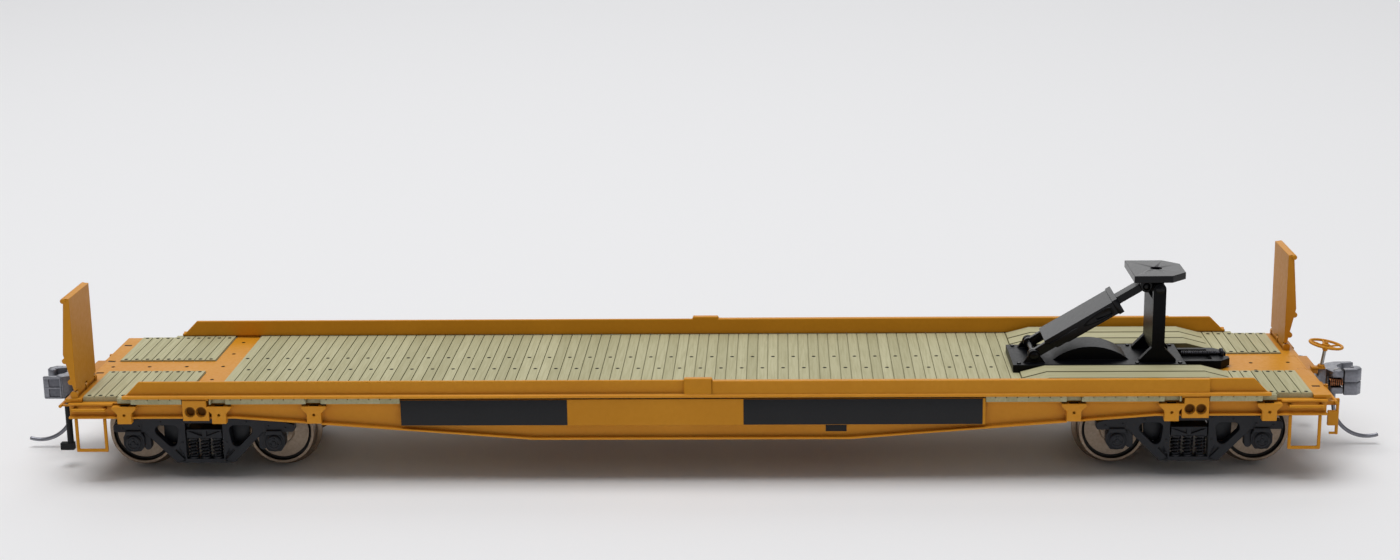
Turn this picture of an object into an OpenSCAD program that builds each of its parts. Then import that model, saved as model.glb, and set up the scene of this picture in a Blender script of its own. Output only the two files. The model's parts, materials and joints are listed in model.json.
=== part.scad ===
// Scale model of a steel flat car that carries road trailers: plank deck, rub rails,
// trailer hitch, two hinged bridge plates, knuckle couplers and two four-wheel bogies.
// Millimetres. X runs along the car to the brake wheel (B) end, Y across it, Z up.
// Z = 0 is the lowest point of the wheel flanges.

/* [Deck] */
// Length over the end sills
deck_len = 175; // [140:1:210]
// Width over the main planks
deck_w = 34; // [30:0.1:40]
// Height of the plank tops above the wheel flanges
deck_top = 12.55; // [12.3:0.05:13.5]
// Thickness of the planks
plank_t = 0.75; // [0.6:0.05:1]
// Pitch of the main planks
plank_pitch = 1.5; // [1:0.1:3]
// Width of the groove between planks
plank_groove_w = 0.14; // [0.05:0.01:0.3]
// Depth of the groove between planks
plank_groove_d = 0.2; // [0.05:0.05:0.4]
// Pitch of the planks in the end panels
panel_pitch = 1.6; // [1:0.1:3]
// How far the end panels are set in from the plank ends, beside the car's ends
panel_inset = 1.55; // [1.2:0.05:2.4]
// Length of the end panels
panel_len = 14.4; // [12:0.1:15]
// Steel edge between an end panel and the end of the deck
end_edge = 1.85; // [1.4:0.05:3]
// Steel strip between the end panels, A end
strip_a_w = 5.6; // [4:0.1:9]
// Steel strip between the end panels, B end
strip_b_w = 9.2; // [7.4:0.1:11]
// Steel strip across the deck over the bolsters
cross_strip = 3.8; // [3.2:0.1:5]
// How far the steel plates lie below the plank tops
plate_drop = 0.2; // [0.1:0.05:0.4]

/* [Side sills] */
// How far the side sill webs are set in from the plank ends
sill_inset = 1.07; // [0.8:0.01:1.4]
// Thickness of the side sill web
sill_t = 0.55; // [0.4:0.05:0.8]
// Height of the sill's lower edge at the ends
sill_end_z = 9.6; // [9.4:0.05:10.2]
// Height of the sill's lower edge at mid car
sill_mid_z = 6.35; // [5:0.05:8]
// Length of the deep flat part at mid car
sill_mid_len = 44; // [20:1:60]
// Distance from the deck's end to the start of the slope
slope_inset = 23.5; // [19.5:0.5:30]
// Width of the sill's outer lip
sill_lip_w = 0.75; // [0.3:0.05:1]
// Thickness of the sill's lip and flange
sill_lip_t = 0.3; // [0.2:0.05:0.5]
// Distance from the deck's end to the first stake pocket
pocket_inset = 8; // [6.6:0.1:10]
// Pitch of the stake pockets
pocket_pitch = 13.37; // [12.6:0.01:13.6]
// Width of a stake pocket at its flared top
pocket_top_w = 3.4; // [3:0.1:4.2]
// Width of a stake pocket's body
pocket_w = 2; // [1.8:0.1:3]
// How far a stake pocket stands out from the web
pocket_d = 1.15; // [0.9:0.05:1.3]
// Height of a stake pocket
pocket_h = 2.5; // [2:0.1:2.8]
// Distance from the third stake pocket to the letter board
board_gap = 12.16; // [3:0.02:12.16]
// Height of the letter boards
board_h = 3.8; // [3:0.1:5]
// Thickness of the letter boards
board_t = 0.4; // [0.25:0.05:0.5]

/* [Rub rails] */
// How far the rub rails stand out past the plank ends
rail_over = 0.03; // [0:0.01:0.4]
// Height of the rub rails
rail_h = 2.38; // [1.5:0.02:3]
// Distance from the deck's end to the foot of a rub rail
rail_inset = 7.85; // [6:0.05:12]
// Slope of a rub rail's end, along the rail
rail_end_slope = 2.35; // [0:0.05:4]
// Thickness of a rub rail's web
rail_web_t = 0.5; // [0.3:0.05:0.8]
// Width of a rub rail's foot
rail_foot_w = 0.98; // [0.8:0.02:1.3]
// Thickness of a rub rail's foot
rail_foot_t = 0.4; // [0.2:0.05:0.6]

/* [Underframe] */
// Width over the center sill webs
center_w = 5.2; // [4.4:0.1:5.6]
// Height of the center sill's lower edge over the bogies
center_end_z = 9.3; // [9.25:0.05:9.6]
// Height of the center sill's lower edge at mid car
center_mid_z = 6.6; // [5.5:0.1:8]
// Thickness of the center sill's plates
center_t = 0.6; // [0.4:0.05:0.8]
// Width of the body bolsters
bolster_w = 3.4; // [2.6:0.1:4]
// Thickness of the crossbearers
bearer_t = 0.6; // [0.4:0.05:1]
// Thickness of the end sills
end_sill_t = 1.1; // [0.8:0.05:1.5]
// Height of the end sills
end_sill_h = 1.9; // [1.5:0.05:2.4]

/* [Bogies] */
// Distance from the deck's end to the bogie pivot
bogie_inset = 18.38; // [17.8:0.02:19.6]
// Distance between a bogie's axles
wheelbase = 20; // [18:0.1:21]
// Diameter of the wheel tread
wheel_d = 9.62; // [9:0.02:10]
// Depth of the wheel flange
flange_h = 0.65; // [0.4:0.05:0.9]
// Distance between the backs of the wheels
back_to_back = 14.5; // [14.2:0.05:14.8]
// Width of a wheel
wheel_w = 2.65; // [2.2:0.05:2.9]
// Diameter of an axle
axle_d = 2; // [1.5:0.1:2.4]
// How far the bogie side frames are set in from the plank ends
frame_inset = 2.6; // [2.4:0.05:3]
// Thickness of a bogie side frame
frame_t = 1.5; // [1.2:0.1:1.8]
// How far the journal box lids stand out of the side frames
lid_out = 0.5; // [0.3:0.05:0.7]
// Diameter of the pivot pin
pivot_d = 2; // [1.4:0.1:2.4]

/* [Hitch] */
// Distance from the deck's end to the hitch base's inner edge
hitch_inset = 42; // [40:0.1:46]
// Length of the hitch base under the leg
hitch_len = 24.6; // [23:0.1:26]
// Width of the hitch base
hitch_w = 10.8; // [9.5:0.1:11]
// Thickness of the hitch base and of its timbers
hitch_t = 1.15; // [0.8:0.05:1.5]
// Height of the hitch head's top above the plank tops
hitch_h = 13.95; // [12:0.05:16]
// Distance from the hitch base's inner edge to the upright leg
leg_run = 20.7; // [18:0.1:21.4]
// Distance from the hitch base's inner edge to the strut's lower pivot
strut_run = 3.1; // [2:0.1:4.4]
// Diameter of the kingpin hole
kingpin_d = 1.6; // [1:0.1:2]
// Length of the timbers beside the hitch
timber_len = 28.9; // [27:0.1:30]

/* [Bridge plates] */
// Width of a bridge plate
bridge_w = 9.3; // [7:0.1:10]
// Height of a bridge plate when it stands upright
bridge_h = 13.9; // [10:0.1:18]
// Thickness of a bridge plate
bridge_t = 0.4; // [0.3:0.05:0.6]
// Depth of a bridge plate's side flanges
bridge_flange = 1.1; // [0.5:0.05:1.2]
// How far a bridge plate's middle is set in from the plank ends
bridge_inset = 6; // [5.8:0.1:7.6]

/* [Couplers] */
// Height of the coupler's centre line
coupler_z = 10; // [9.9:0.05:10.2]
// Distance from the deck's end to the coupler's pulling face
coupler_reach = 8.3; // [8:0.1:10]
// Height of the knuckle
knuckle_h = 3.8; // [3.5:0.1:3.8]
// How far the trip pin reaches past the pulling face
trip_reach = 3.3; // [1:0.1:4]
// Height of the trip pin's tip
trip_z = 1.2; // [1:0.1:3]

/* [End fittings] */
// Diameter of the brake wheel
brake_wheel_d = 5; // [4:0.1:5.6]
// Height of the brake wheel above the plank tops
brake_wheel_z = 3.4; // [2.5:0.1:5]
// Lean of the brake wheel's staff away from the car, in degrees
staff_lean = 9; // [0:1:12]
// Thickness of the step straps and grab irons
wire = 0.45; // [0.3:0.05:0.6]
// Distance from the deck's end to the middle of a corner step
step_inset = 3; // [2.6:0.1:4]
// Width of a corner step
step_w = 4.5; // [3.4:0.1:4.6]
// Height of a corner step's tread
step_z = 4.7; // [3.5:0.1:6]

/* [Hidden] */

$fn = 48;
// overrun of every cut, gap between neighbours that lie side by side, running clearance
cut = 1;
seam = 0.05;
play = 0.1;

paint = [0.77, 0.5, 0.13];
paint_dark = [0.6, 0.38, 0.1];
wood = [0.67, 0.64, 0.46];
black = [0.1, 0.1, 0.11];
metal = [0.5, 0.48, 0.45];
bronze = [0.6, 0.52, 0.44];
copper = [0.72, 0.42, 0.25];

// levels of the deck
floor_z = deck_top - plank_t;
plate_z = deck_top - plate_drop;
end_x = deck_len / 2;
panel_x1 = end_x - end_edge;
panel_x0 = panel_x1 - panel_len;
main_x1 = panel_x0 - cross_strip;
axle_z = wheel_d / 2 + flange_h;
bogie_x = end_x - bogie_inset;
plank_y = deck_w / 2;
sill_y = plank_y - sill_inset;
web_in = sill_y - sill_t;
rail_y = plank_y + rail_over;
panel_y = plank_y - panel_inset;
pocket_first = end_x - pocket_inset;
board_x1 = pocket_first - 2 * pocket_pitch - board_gap;
board_y1 = sill_y + pocket_d - play;
board_y0 = board_y1 - board_t;
board_top = plate_z;
pocket_top = floor_z - sill_lip_t - seam;

module box(x0, x1, y0, y1, z0, z1) {
    translate([x0, y0, z0]) cube([x1 - x0, y1 - y0, z1 - z0]);
}

// outline in X and Z, drawn out along Y
module slab_y(points, y0, y1) {
    translate([0, y1, 0]) rotate([90, 0, 0]) linear_extrude(y1 - y0) polygon(points);
}

// outline in Y and Z, drawn out along X
module slab_x(points, x0, x1) {
    translate([x0, 0, 0]) rotate([90, 0, 90]) linear_extrude(x1 - x0) polygon(points);
}

module rod_x(x0, x1, y, z, r) {
    translate([x0, y, z]) rotate([0, 90, 0]) cylinder(h = x1 - x0, r = r);
}

module rod_y(x, y0, y1, z, r) {
    translate([x, y1, z]) rotate([90, 0, 0]) cylinder(h = y1 - y0, r = r);
}

module rod_z(x, y, z0, z1, r) {
    translate([x, y, z0]) cylinder(h = z1 - z0, r = r);
}

module both_ends() {
    children();
    mirror([1, 0, 0]) children();
}

module both_sides() {
    children();
    mirror([0, 1, 0]) children();
}

function unit(v) = v / norm(v);

// the corner b of an outline between a and c, rounded with n steps
function corner_arc(a, b, c, r, n) = let(
    u = unit(a - b), v = unit(c - b), half = acos(u * v) / 2,
    m = b + unit(u + v) * r / sin(half), start = b + u * r / tan(half) - m,
    turn = sign(cross(b - a, c - b)) * (180 - 2 * half)
) [for (i = [0 : n]) let(w = i * turn / n)
    m + [start[0] * cos(w) - start[1] * sin(w), start[0] * sin(w) + start[1] * cos(w)]];

function rounded(points, r, n = 5) = let(count = len(points)) [for (i = [0 : count - 1])
    each corner_arc(points[(i + count - 1) % count], points[i], points[(i + 1) % count], r, n)];

// half outline of a coil that stands from z = 0 to z = h, ring by ring
function coil_points(r, core_r, h, turns) = concat([[0, 0]],
    [for (i = [0 : turns - 1]) each [[core_r, i * h / turns], [r, (2 * i + 1) * h / turns / 2]]],
    [[core_r, h], [0, h]]);

// Deck

// plank row from x0 to x1: a board whose top is cut into planks
function plank_row(x0, count, pitch) = concat(
    [[x0 + count * pitch, floor_z], [x0, floor_z]],
    [for (i = [0 : count - 1], p = [
        [0, -plank_groove_d], [plank_groove_w / 2, -plank_groove_d], [plank_groove_w / 2, 0],
        [pitch - plank_groove_w / 2, 0], [pitch - plank_groove_w / 2, -plank_groove_d],
    ]) [x0 + i * pitch + p[0], deck_top + p[1]]],
    [[x0 + count * pitch, deck_top - plank_groove_d]]
);

module pocket_notches(margin) {
    for (i = [0 : 2])
        box(pocket_first - i * pocket_pitch - pocket_w / 2 - margin,
            pocket_first - i * pocket_pitch + pocket_w / 2 + margin,
            sill_y + margin, plank_y + cut, floor_z - cut, deck_top + cut);
}

main_count = round(2 * (main_x1 - seam) / plank_pitch);
main_step = 2 * (main_x1 - seam) / main_count;
module deck_planks() {
    color(wood) difference() {
        slab_y(plank_row(seam - main_x1, main_count, main_step), -plank_y, plank_y);
        both_sides() {
            both_ends() pocket_notches(seam);
            box(-board_x1 - seam, board_x1 + seam, board_y0 - seam, plank_y + cut,
                floor_z - cut, deck_top + cut);
        }
    }
}

panel_count = round((panel_len - 2 * seam) / panel_pitch);
panel_step = (panel_len - 2 * seam) / panel_count;
module end_planks(strip_w) {
    color(wood) both_sides() difference() {
        slab_y(plank_row(panel_x0 + seam, panel_count, panel_step), strip_w / 2 + seam, plank_y);
        pocket_notches(seam);
        box(pocket_first + pocket_w / 2, panel_x1 + cut, panel_y, plank_y + cut,
            floor_z - cut, deck_top + cut);
    }
}

slot_l = 1.1;
slot_w = 0.6;
slot_inset = 0.05;
slot_ys = [3, 11.7];
plate_over = 0.5;
// side: +1 or -1, the side without a bridge plate, which has one slot more
module end_plate(strip_w, side) {
    color(paint) difference() {
        union() {
            box(main_x1, panel_x0, -sill_y, sill_y, floor_z, plate_z);
            box(main_x1, end_x, -strip_w / 2, strip_w / 2, floor_z, plate_z);
            box(panel_x1, end_x, -sill_y, sill_y, floor_z, plate_z);
            both_sides() box(end_x - seam, end_x + plate_over, striker_w / 2 + seam, sill_y,
                floor_z, plate_z);
        }
        for (y = [-slot_ys[0], slot_ys[0], side * slot_ys[1]])
            box(end_x - slot_inset - slot_l, end_x - slot_inset, y - slot_w / 2, y + slot_w / 2,
                floor_z - cut, plate_z + cut);
    }
}

// Side sills

slope_x = end_x - slope_inset;
mid_x = sill_mid_len / 2;
module sill_outline(rise) {
    polygon([[-end_x, rise], [-end_x, sill_end_z], [-slope_x, sill_end_z], [-mid_x, sill_mid_z],
        [mid_x, sill_mid_z], [slope_x, sill_end_z], [end_x, sill_end_z], [end_x, rise]]);
}

// strip of one thickness along the sill's lower edge
function lip_points(t) = [
    [-end_x, sill_end_z], [-slope_x, sill_end_z], [-mid_x, sill_mid_z], [mid_x, sill_mid_z],
    [slope_x, sill_end_z], [end_x, sill_end_z], [end_x, sill_end_z + t],
    [slope_x, sill_end_z + t], [mid_x, sill_mid_z + t], [-mid_x, sill_mid_z + t],
    [-slope_x, sill_end_z + t], [-end_x, sill_end_z + t]
];

pocket_flare_h = 0.35;
pocket_hole_r = 0.2;
pocket_wall = 0.2;
module stake_pocket(x) {
    z1 = pocket_top;
    z0 = pocket_top - pocket_h;
    flare_z = z1 - pocket_flare_h;
    body_z = flare_z - (pocket_top_w - pocket_w) / 2;
    translate([x, 0, 0]) slab_y([
        [-pocket_top_w / 2, z1], [-pocket_top_w / 2, flare_z], [-pocket_w / 2, body_z],
        [-pocket_w / 2, z0], [pocket_w / 2, z0], [pocket_w / 2, body_z],
        [pocket_top_w / 2, flare_z], [pocket_top_w / 2, z1]
    ], sill_y, sill_y + pocket_d);
}

// stake hole, gap in the sill's upper flange above it and the bolt hole in front
module pocket_cut(x) {
    z0 = pocket_top - pocket_h;
    box(x - pocket_w / 2 + pocket_wall / 2, x + pocket_w / 2 - pocket_wall / 2,
        sill_y + pocket_wall, sill_y + pocket_d - pocket_wall, z0 - cut, floor_z + cut);
    box(x - pocket_top_w / 2, x + pocket_top_w / 2, sill_y + seam, sill_y + pocket_d + cut,
        pocket_top, floor_z + cut);
    rod_y(x, sill_y + pocket_wall, sill_y + pocket_d + cut, pocket_top - pocket_h / 2, pocket_hole_r);
}

casting_inset = 0.05;
casting_drop = 0.2;
casting_hole_r = 0.68;
casting_hole_d = 0.7;
casting_hole_x = 0.78;
module bolster_casting() {
    x = (main_x1 + panel_x0) / 2;
    w = cross_strip - 2 * casting_inset;
    difference() {
        box(x - w / 2, x + w / 2, sill_y, sill_y + pocket_d, sill_end_z - casting_drop, plate_z);
        // pair of round recesses
        for (s = [-1, 1]) rod_y(x + s * casting_hole_x, sill_y + pocket_d - casting_hole_d,
            sill_y + pocket_d + cut, (sill_end_z + floor_z) / 2, casting_hole_r);
    }
}

// the sill on the +Y side
module side_sill() {
    color(paint) difference() {
        union() {
            translate([0, sill_y, 0]) rotate([90, 0, 0]) linear_extrude(sill_t) sill_outline(floor_z);
            slab_y(lip_points(sill_lip_t), sill_y - sill_t, sill_y + sill_lip_w);
            box(-end_x, end_x, sill_y - sill_t, board_y0, floor_z - sill_lip_t, floor_z);
            both_ends() {
                for (i = [0 : 2]) stake_pocket(pocket_first - i * pocket_pitch);
                bolster_casting();
                // plain blocks that carry the letter board
                for (i = [3 : 5])
                    box(pocket_first - i * pocket_pitch - pocket_w / 2,
                        pocket_first - i * pocket_pitch + pocket_w / 2,
                        sill_y - sill_t, board_y0, pocket_top - pocket_h, floor_z);
            }
        }
        both_ends() for (i = [0 : 2]) pocket_cut(pocket_first - i * pocket_pitch);
    }
}

module letter_boards() {
    color(paint) both_sides()
        box(-board_x1, board_x1, board_y0, board_y1, board_top - board_h, board_top);
}

// Rub rails

splice_x = 0.95;
splice_l = 3.9;
splice_rise = 0.35;
module rub_rail() {
    z0 = deck_top;
    z1 = deck_top + rail_h;
    x1 = end_x - rail_inset;
    foot_in = rail_y - rail_foot_w;
    color(paint) union() {
        slab_y([[-x1, z0], [x1, z0], [x1 - rail_end_slope, z1], [rail_end_slope - x1, z1]],
            foot_in, foot_in + rail_web_t);
        box(-x1, x1, foot_in, rail_y, z0, z0 + rail_foot_t);
        // doubled half, towards the hitch, and the splice at mid car
        box(splice_x, panel_x0, foot_in, rail_y - seam, z0, z1);
        box(splice_x - splice_l / 2, splice_x + splice_l / 2, foot_in, rail_y, z0, z1 + splice_rise);
    }
}

// Underframe

draft_len = 7.7;
center_slope = 14;
draft_x0 = end_x - draft_len;
center_slope_x1 = slope_x - center_slope;
center_slope_x0 = center_slope_x1 - center_slope;
center_plate_r = 2.2;
center_plate_t = 0.2;
center_flange = 0.6;
pipe_r = 0.35;
pipe_out = 0.9;
pipe_drop = 0.8;
pipe_y = center_w / 2 + pipe_out;
pipe_z = floor_z - pipe_drop;
module center_outline(rise) {
    polygon([[-draft_x0, rise], [-draft_x0, center_end_z], [-center_slope_x1, center_end_z],
        [-center_slope_x0, center_mid_z], [center_slope_x0, center_mid_z],
        [center_slope_x1, center_end_z], [draft_x0, center_end_z], [draft_x0, rise]]);
}

function center_lip(t) = [
    [-draft_x0, center_end_z], [-center_slope_x1, center_end_z], [-center_slope_x0, center_mid_z],
    [center_slope_x0, center_mid_z], [center_slope_x1, center_end_z], [draft_x0, center_end_z],
    [draft_x0, center_end_z + t], [center_slope_x1, center_end_z + t],
    [center_slope_x0, center_mid_z + t], [-center_slope_x0, center_mid_z + t],
    [-center_slope_x1, center_end_z + t], [-draft_x0, center_end_z + t]
];

module center_sill() {
    y1 = center_w / 2;
    color(paint_dark) difference() {
        union() {
            both_sides() {
                translate([0, y1, 0]) rotate([90, 0, 0]) linear_extrude(center_t)
                    center_outline(floor_z);
                slab_y(center_lip(sill_lip_t), y1 - center_t, y1 + center_flange);
            }
            box(-draft_x0, draft_x0, -y1, y1, floor_z - center_t, floor_z);
            both_ends() {
                box(bogie_x - center_plate_r, bogie_x + center_plate_r, -y1, y1, center_end_z, floor_z);
                rod_z(bogie_x, 0, center_end_z - center_plate_t, floor_z, center_plate_r);
            }
        }
        both_ends() rod_z(bogie_x, 0, center_end_z - cut, floor_z - center_t, pivot_d / 2);
    }
}

module body_bolsters() {
    y0 = center_w / 2;
    tip_z = sill_end_z + sill_lip_t;
    root_z = center_end_z + sill_lip_t;
    color(paint_dark) both_ends() both_sides() difference() {
        slab_x([[y0, root_z], [web_in, tip_z], [web_in, floor_z], [y0, floor_z]],
            bogie_x - bolster_w / 2, bogie_x + bolster_w / 2);
        rod_x(bogie_x - bolster_w, bogie_x + bolster_w, pipe_y, pipe_z, pipe_r + play);
    }
}

bearer_shares = [0.14, 0.42, 0.72];
bay_share = 0.28;
bay_x = bay_share * slope_x;
bearer_foot = 1.6;
function sill_z_at(x) = x <= mid_x ? sill_mid_z
    : sill_mid_z + (sill_end_z - sill_mid_z) * (x - mid_x) / (slope_x - mid_x);
function center_z_at(x) = x <= center_slope_x0 ? center_mid_z
    : center_mid_z + (center_end_z - center_mid_z) * (x - center_slope_x0)
        / (center_slope_x1 - center_slope_x0);
module crossbearers() {
    y0 = center_w / 2;
    color(paint_dark) both_ends() both_sides() for (share = bearer_shares) {
        x = share * slope_x;
        z0 = max(center_z_at(x), center_z_at(x + bearer_foot)) + sill_lip_t;
        z1 = max(sill_z_at(x), sill_z_at(x + bearer_foot)) + sill_lip_t;
        difference() {
            union() {
                slab_x([[y0, z0], [web_in, z1], [web_in, floor_z], [y0, floor_z]],
                    x - bearer_t / 2, x + bearer_t / 2);
                slab_x([[y0, z0], [web_in, z1], [web_in, z1 + sill_lip_t], [y0, z0 + sill_lip_t]],
                    x - bearer_foot / 2, x + bearer_foot / 2);
            }
            rod_x(x - bearer_foot, x + bearer_foot, pipe_y, pipe_z, pipe_r + play);
        }
    }
}

draft_w = 5.2;
draft_wall = 0.5;
draft_drop = 1.25;
draft_z0 = coupler_z - draft_drop;
striker_w = 7;
striker_t = 0.7;
striker_lip = 1.6;
striker_lip_h = 0.65;
striker_drop = 0.3;
shank_w = 1.7;
shank_h = 1.1;
shank_play = 0.25;
coupler_pin_inset = 4.9;
coupler_pin_x = end_x - coupler_pin_inset;
coupler_pin_r = 0.5;
coupler_eye_r = 1.3;
mouth_w = draft_w - 2 * draft_wall;
module draft_boxes() {
    y1 = draft_w / 2;
    mouth_z0 = coupler_z - shank_h / 2 - shank_play;
    mouth_z1 = coupler_z + shank_h / 2 + shank_play;
    color(paint_dark) both_ends() {
        difference() {
            union() {
                box(draft_x0, end_x, -y1, y1, draft_z0, floor_z);
                box(end_x, end_x + striker_t, -striker_w / 2, striker_w / 2,
                    draft_z0 - striker_drop, plate_z);
                box(end_x, end_x + striker_lip, -striker_w / 2, striker_w / 2,
                    plate_z - striker_lip_h, plate_z);
            }
            box(draft_x0 + draft_wall, end_x + striker_t + cut, -mouth_w / 2, mouth_w / 2,
                mouth_z0, mouth_z1);
        }
        rod_z(coupler_pin_x, 0, draft_z0, floor_z, coupler_pin_r);
    }
}

module end_sills() {
    color(paint) both_ends() both_sides()
        box(end_x - end_sill_t, end_x, draft_w / 2, web_in, floor_z - end_sill_h, floor_z);
}

// Trailer hitch

base_z = deck_top + hitch_t;
hitch_x0 = end_x - hitch_inset;
leg_x = hitch_x0 + leg_run;
strut_x = hitch_x0 + strut_run;
leg_x1 = hitch_x0 + hitch_len;
dome_run = 6;
dome_x0 = hitch_x0 + dome_run;
dome_l = 10.8;
dome_h = 1.9;
dome_w = 5.4;
trough_l = 6.7;
trough_x1 = leg_x1 + trough_l;
trough_w = 7;
trough_h = 1.3;
trough_wall = 0.9;
trough_floor = 0.3;
trough_bevel = 1.5;
block_l = 2.6;
screw_r = 0.45;
screw_head_r = 0.8;
screw_head_l = 0.6;
screw_z = deck_top + trough_floor + screw_head_r + play;
hitch_pin_r = 0.4;
pivot_rise = 0.95;
strut_w = 7;
lug_y0 = strut_w / 2 + play;
lug_t = 0.7;
lug_r = 0.85;
lug_foot = 1.65;
head_t = 1;
head_drop = 1.2;
head_run = 1.6;
strut_z = base_z + pivot_rise;
head_z = deck_top + hitch_h;
head_pin_z = head_z - head_t - head_drop;
strut_top_x = leg_x - head_run;
strut_angle = atan2(head_pin_z - strut_z, strut_top_x - strut_x);
strut_len = norm([head_pin_z - strut_z, strut_top_x - strut_x]);

module hitch_base() {
    dome_r = (dome_l * dome_l / 4 + dome_h * dome_h) / (2 * dome_h);
    rim_z = plate_z + trough_h;
    block_x0 = trough_x1 - block_l;
    notch_x0 = trough_x1 - 2 * screw_head_l;
    color(black) difference() {
        union() {
            box(hitch_x0, main_x1, -hitch_w / 2, hitch_w / 2, deck_top, base_z);
            box(main_x1, leg_x1, -hitch_w / 2 + play, hitch_w / 2 - play, deck_top, base_z);
            // screw trough with bevelled end corners
            translate([0, 0, deck_top]) linear_extrude(rim_z - deck_top) polygon([
                [leg_x1 - seam, -trough_w / 2], [trough_x1 - trough_bevel, -trough_w / 2],
                [trough_x1, -trough_w / 2 + trough_bevel], [trough_x1, trough_w / 2 - trough_bevel],
                [trough_x1 - trough_bevel, trough_w / 2], [leg_x1 - seam, trough_w / 2],
            ]);
            intersection() {
                rod_y(dome_x0 + dome_l / 2, -dome_w / 2, dome_w / 2, base_z + dome_h - dome_r, dome_r);
                box(dome_x0, dome_x0 + dome_l, -dome_w, dome_w, base_z - seam, base_z + dome_h);
            }
            both_sides() {
                rod_y(strut_x, lug_y0, lug_y0 + lug_t, strut_z, lug_r);
                slab_y([[strut_x - lug_foot, base_z - seam], [strut_x + lug_foot, base_z - seam],
                    [strut_x + lug_r, strut_z], [strut_x - lug_r, strut_z]], lug_y0, lug_y0 + lug_t);
            }
        }
        box(leg_x1 - seam, block_x0, -trough_w / 2 + trough_wall, trough_w / 2 - trough_wall,
            deck_top + trough_floor, rim_z + cut);
        box(notch_x0, trough_x1 + cut, -screw_head_r - play, screw_head_r + play,
            deck_top + trough_floor, rim_z + cut);
        rod_x(block_x0 - cut, trough_x1, 0, screw_z, screw_r + play);
        rod_y(strut_x, -hitch_w, hitch_w, strut_z, hitch_pin_r + play);
    }
}

strut_t = 1.95;
strut_s0 = 2.3;
strut_s1 = 14.2;
strut_bevel = 3;
strut_nose = 0.5;
arm_t = 0.9;
arm_h = 1.3;
arm_len = 5.4;
eye_r = 0.82;
cheek_s0 = 2.7;
cheek_s1 = 7.4;
cheek_out = 0.3;
cheek_low = 0.75;
cheek_high = 0.35;
collar_l = 0.8;
collar_out = 0.15;
neck_w = 2.2;
neck_t = 1.1;
head_lug_y0 = 1.3;
head_lug_t = 0.9;
recess_s0 = 8.4;
recess_s1 = 12.6;
recess_h = 1;
recess_d = 0.3;
module hitch_strut() {
    y1 = strut_w / 2;
    pin_y = lug_y0 + lug_t;
    head_y = head_lug_y0 + head_lug_t;
    color(black) translate([strut_x, 0, strut_z]) rotate([0, -strut_angle, 0]) difference() {
        union() {
            rod_y(0, -pin_y, pin_y, 0, hitch_pin_r);
            both_sides() {
                rod_y(0, y1 - arm_t, y1 - seam, 0, eye_r);
                box(0, arm_len, y1 - arm_t, y1 - seam, -arm_h / 2, arm_h / 2);
            }
            slab_y([[strut_s0, strut_t / 2], [strut_s1, strut_t / 2], [strut_s1, -strut_t / 2],
                [strut_s0 + strut_bevel, -strut_t / 2], [strut_s0, strut_t / 2 - strut_nose]], -y1, y1);
            // raised cheeks along the lower half
            both_sides() slab_y([[cheek_s0 + cheek_low, -cheek_low], [cheek_s1 - cheek_low, -cheek_low],
                [cheek_s1, cheek_high], [cheek_s0, cheek_high]], y1 - seam, y1 + cheek_out);
            box(strut_s1 - collar_l, strut_s1, -y1 - collar_out, y1 + collar_out,
                -strut_t / 2 - collar_out, strut_t / 2 + collar_out);
            box(strut_s1 - seam, strut_len, -neck_w / 2, neck_w / 2, -neck_t / 2, neck_t / 2);
            rod_y(strut_len, -neck_w / 2, neck_w / 2, 0, lug_r);
            rod_y(strut_len, -head_y, head_y, 0, hitch_pin_r);
        }
        // drop-shaped recess in each side of the strut
        both_sides() slab_y(rounded([[recess_s0, 0], [recess_s1, -recess_h / 2],
            [recess_s1, recess_h / 2]], recess_h / 4), y1 - recess_d, y1 + cut);
    }
}

post_y0 = 3;
post_t = 1;
post_w = 1.8;
gusset_l = 5.2;
gusset_h = 2.1;
web_t = 0.7;
web_z0 = 1.5;
web_top = 1.6;
module hitch_leg() {
    back = leg_x - post_w / 2;
    color(black) union() {
        both_sides() {
            box(back, leg_x + post_w / 2, post_y0, post_y0 + post_t, base_z, head_pin_z);
            rod_y(leg_x, post_y0, post_y0 + post_t, head_pin_z, post_w / 2);
            slab_y([[leg_x - gusset_l / 2, base_z], [leg_x + gusset_l / 2, base_z],
                [leg_x + gusset_l / 2, base_z + trough_floor], [leg_x + post_w / 2, base_z + gusset_h],
                [back, base_z + gusset_h], [leg_x - gusset_l / 2, base_z + trough_floor]],
                post_y0, post_y0 + post_t);
        }
        box(back, back + web_t, -post_y0, post_y0, base_z + web_z0, head_pin_z - web_top);
        rod_y(leg_x, -post_y0 - post_t, post_y0 + post_t, head_pin_z, hitch_pin_r);
    }
}

head_w = 9.6;
head_l = 7.6;
head_nose = 2.2;
module hitch_head() {
    color(black) difference() {
        union() {
            translate([leg_x, 0, head_z - head_t]) linear_extrude(head_t) polygon([
                [-head_l / 2, -head_w / 2], [head_l / 2 - head_nose, -head_w / 2],
                [head_l / 2, -head_w / 2 + head_nose], [head_l / 2, head_w / 2 - head_nose],
                [head_l / 2 - head_nose, head_w / 2], [-head_l / 2, head_w / 2],
            ]);
            both_sides() {
                // cheeks for the pins of the leg and of the strut
                box(strut_top_x - lug_r, leg_x + lug_r, head_lug_y0, head_lug_y0 + head_lug_t,
                    head_pin_z, head_z - head_t + seam);
                for (x = [strut_top_x, leg_x])
                    rod_y(x, head_lug_y0, head_lug_y0 + head_lug_t, head_pin_z, lug_r);
            }
        }
        for (x = [strut_top_x, leg_x]) rod_y(x, -head_w, head_w, head_pin_z, hitch_pin_r + play);
        rod_z(leg_x, 0, head_z - head_t - cut, head_z + cut, kingpin_d / 2);
    }
}

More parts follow.
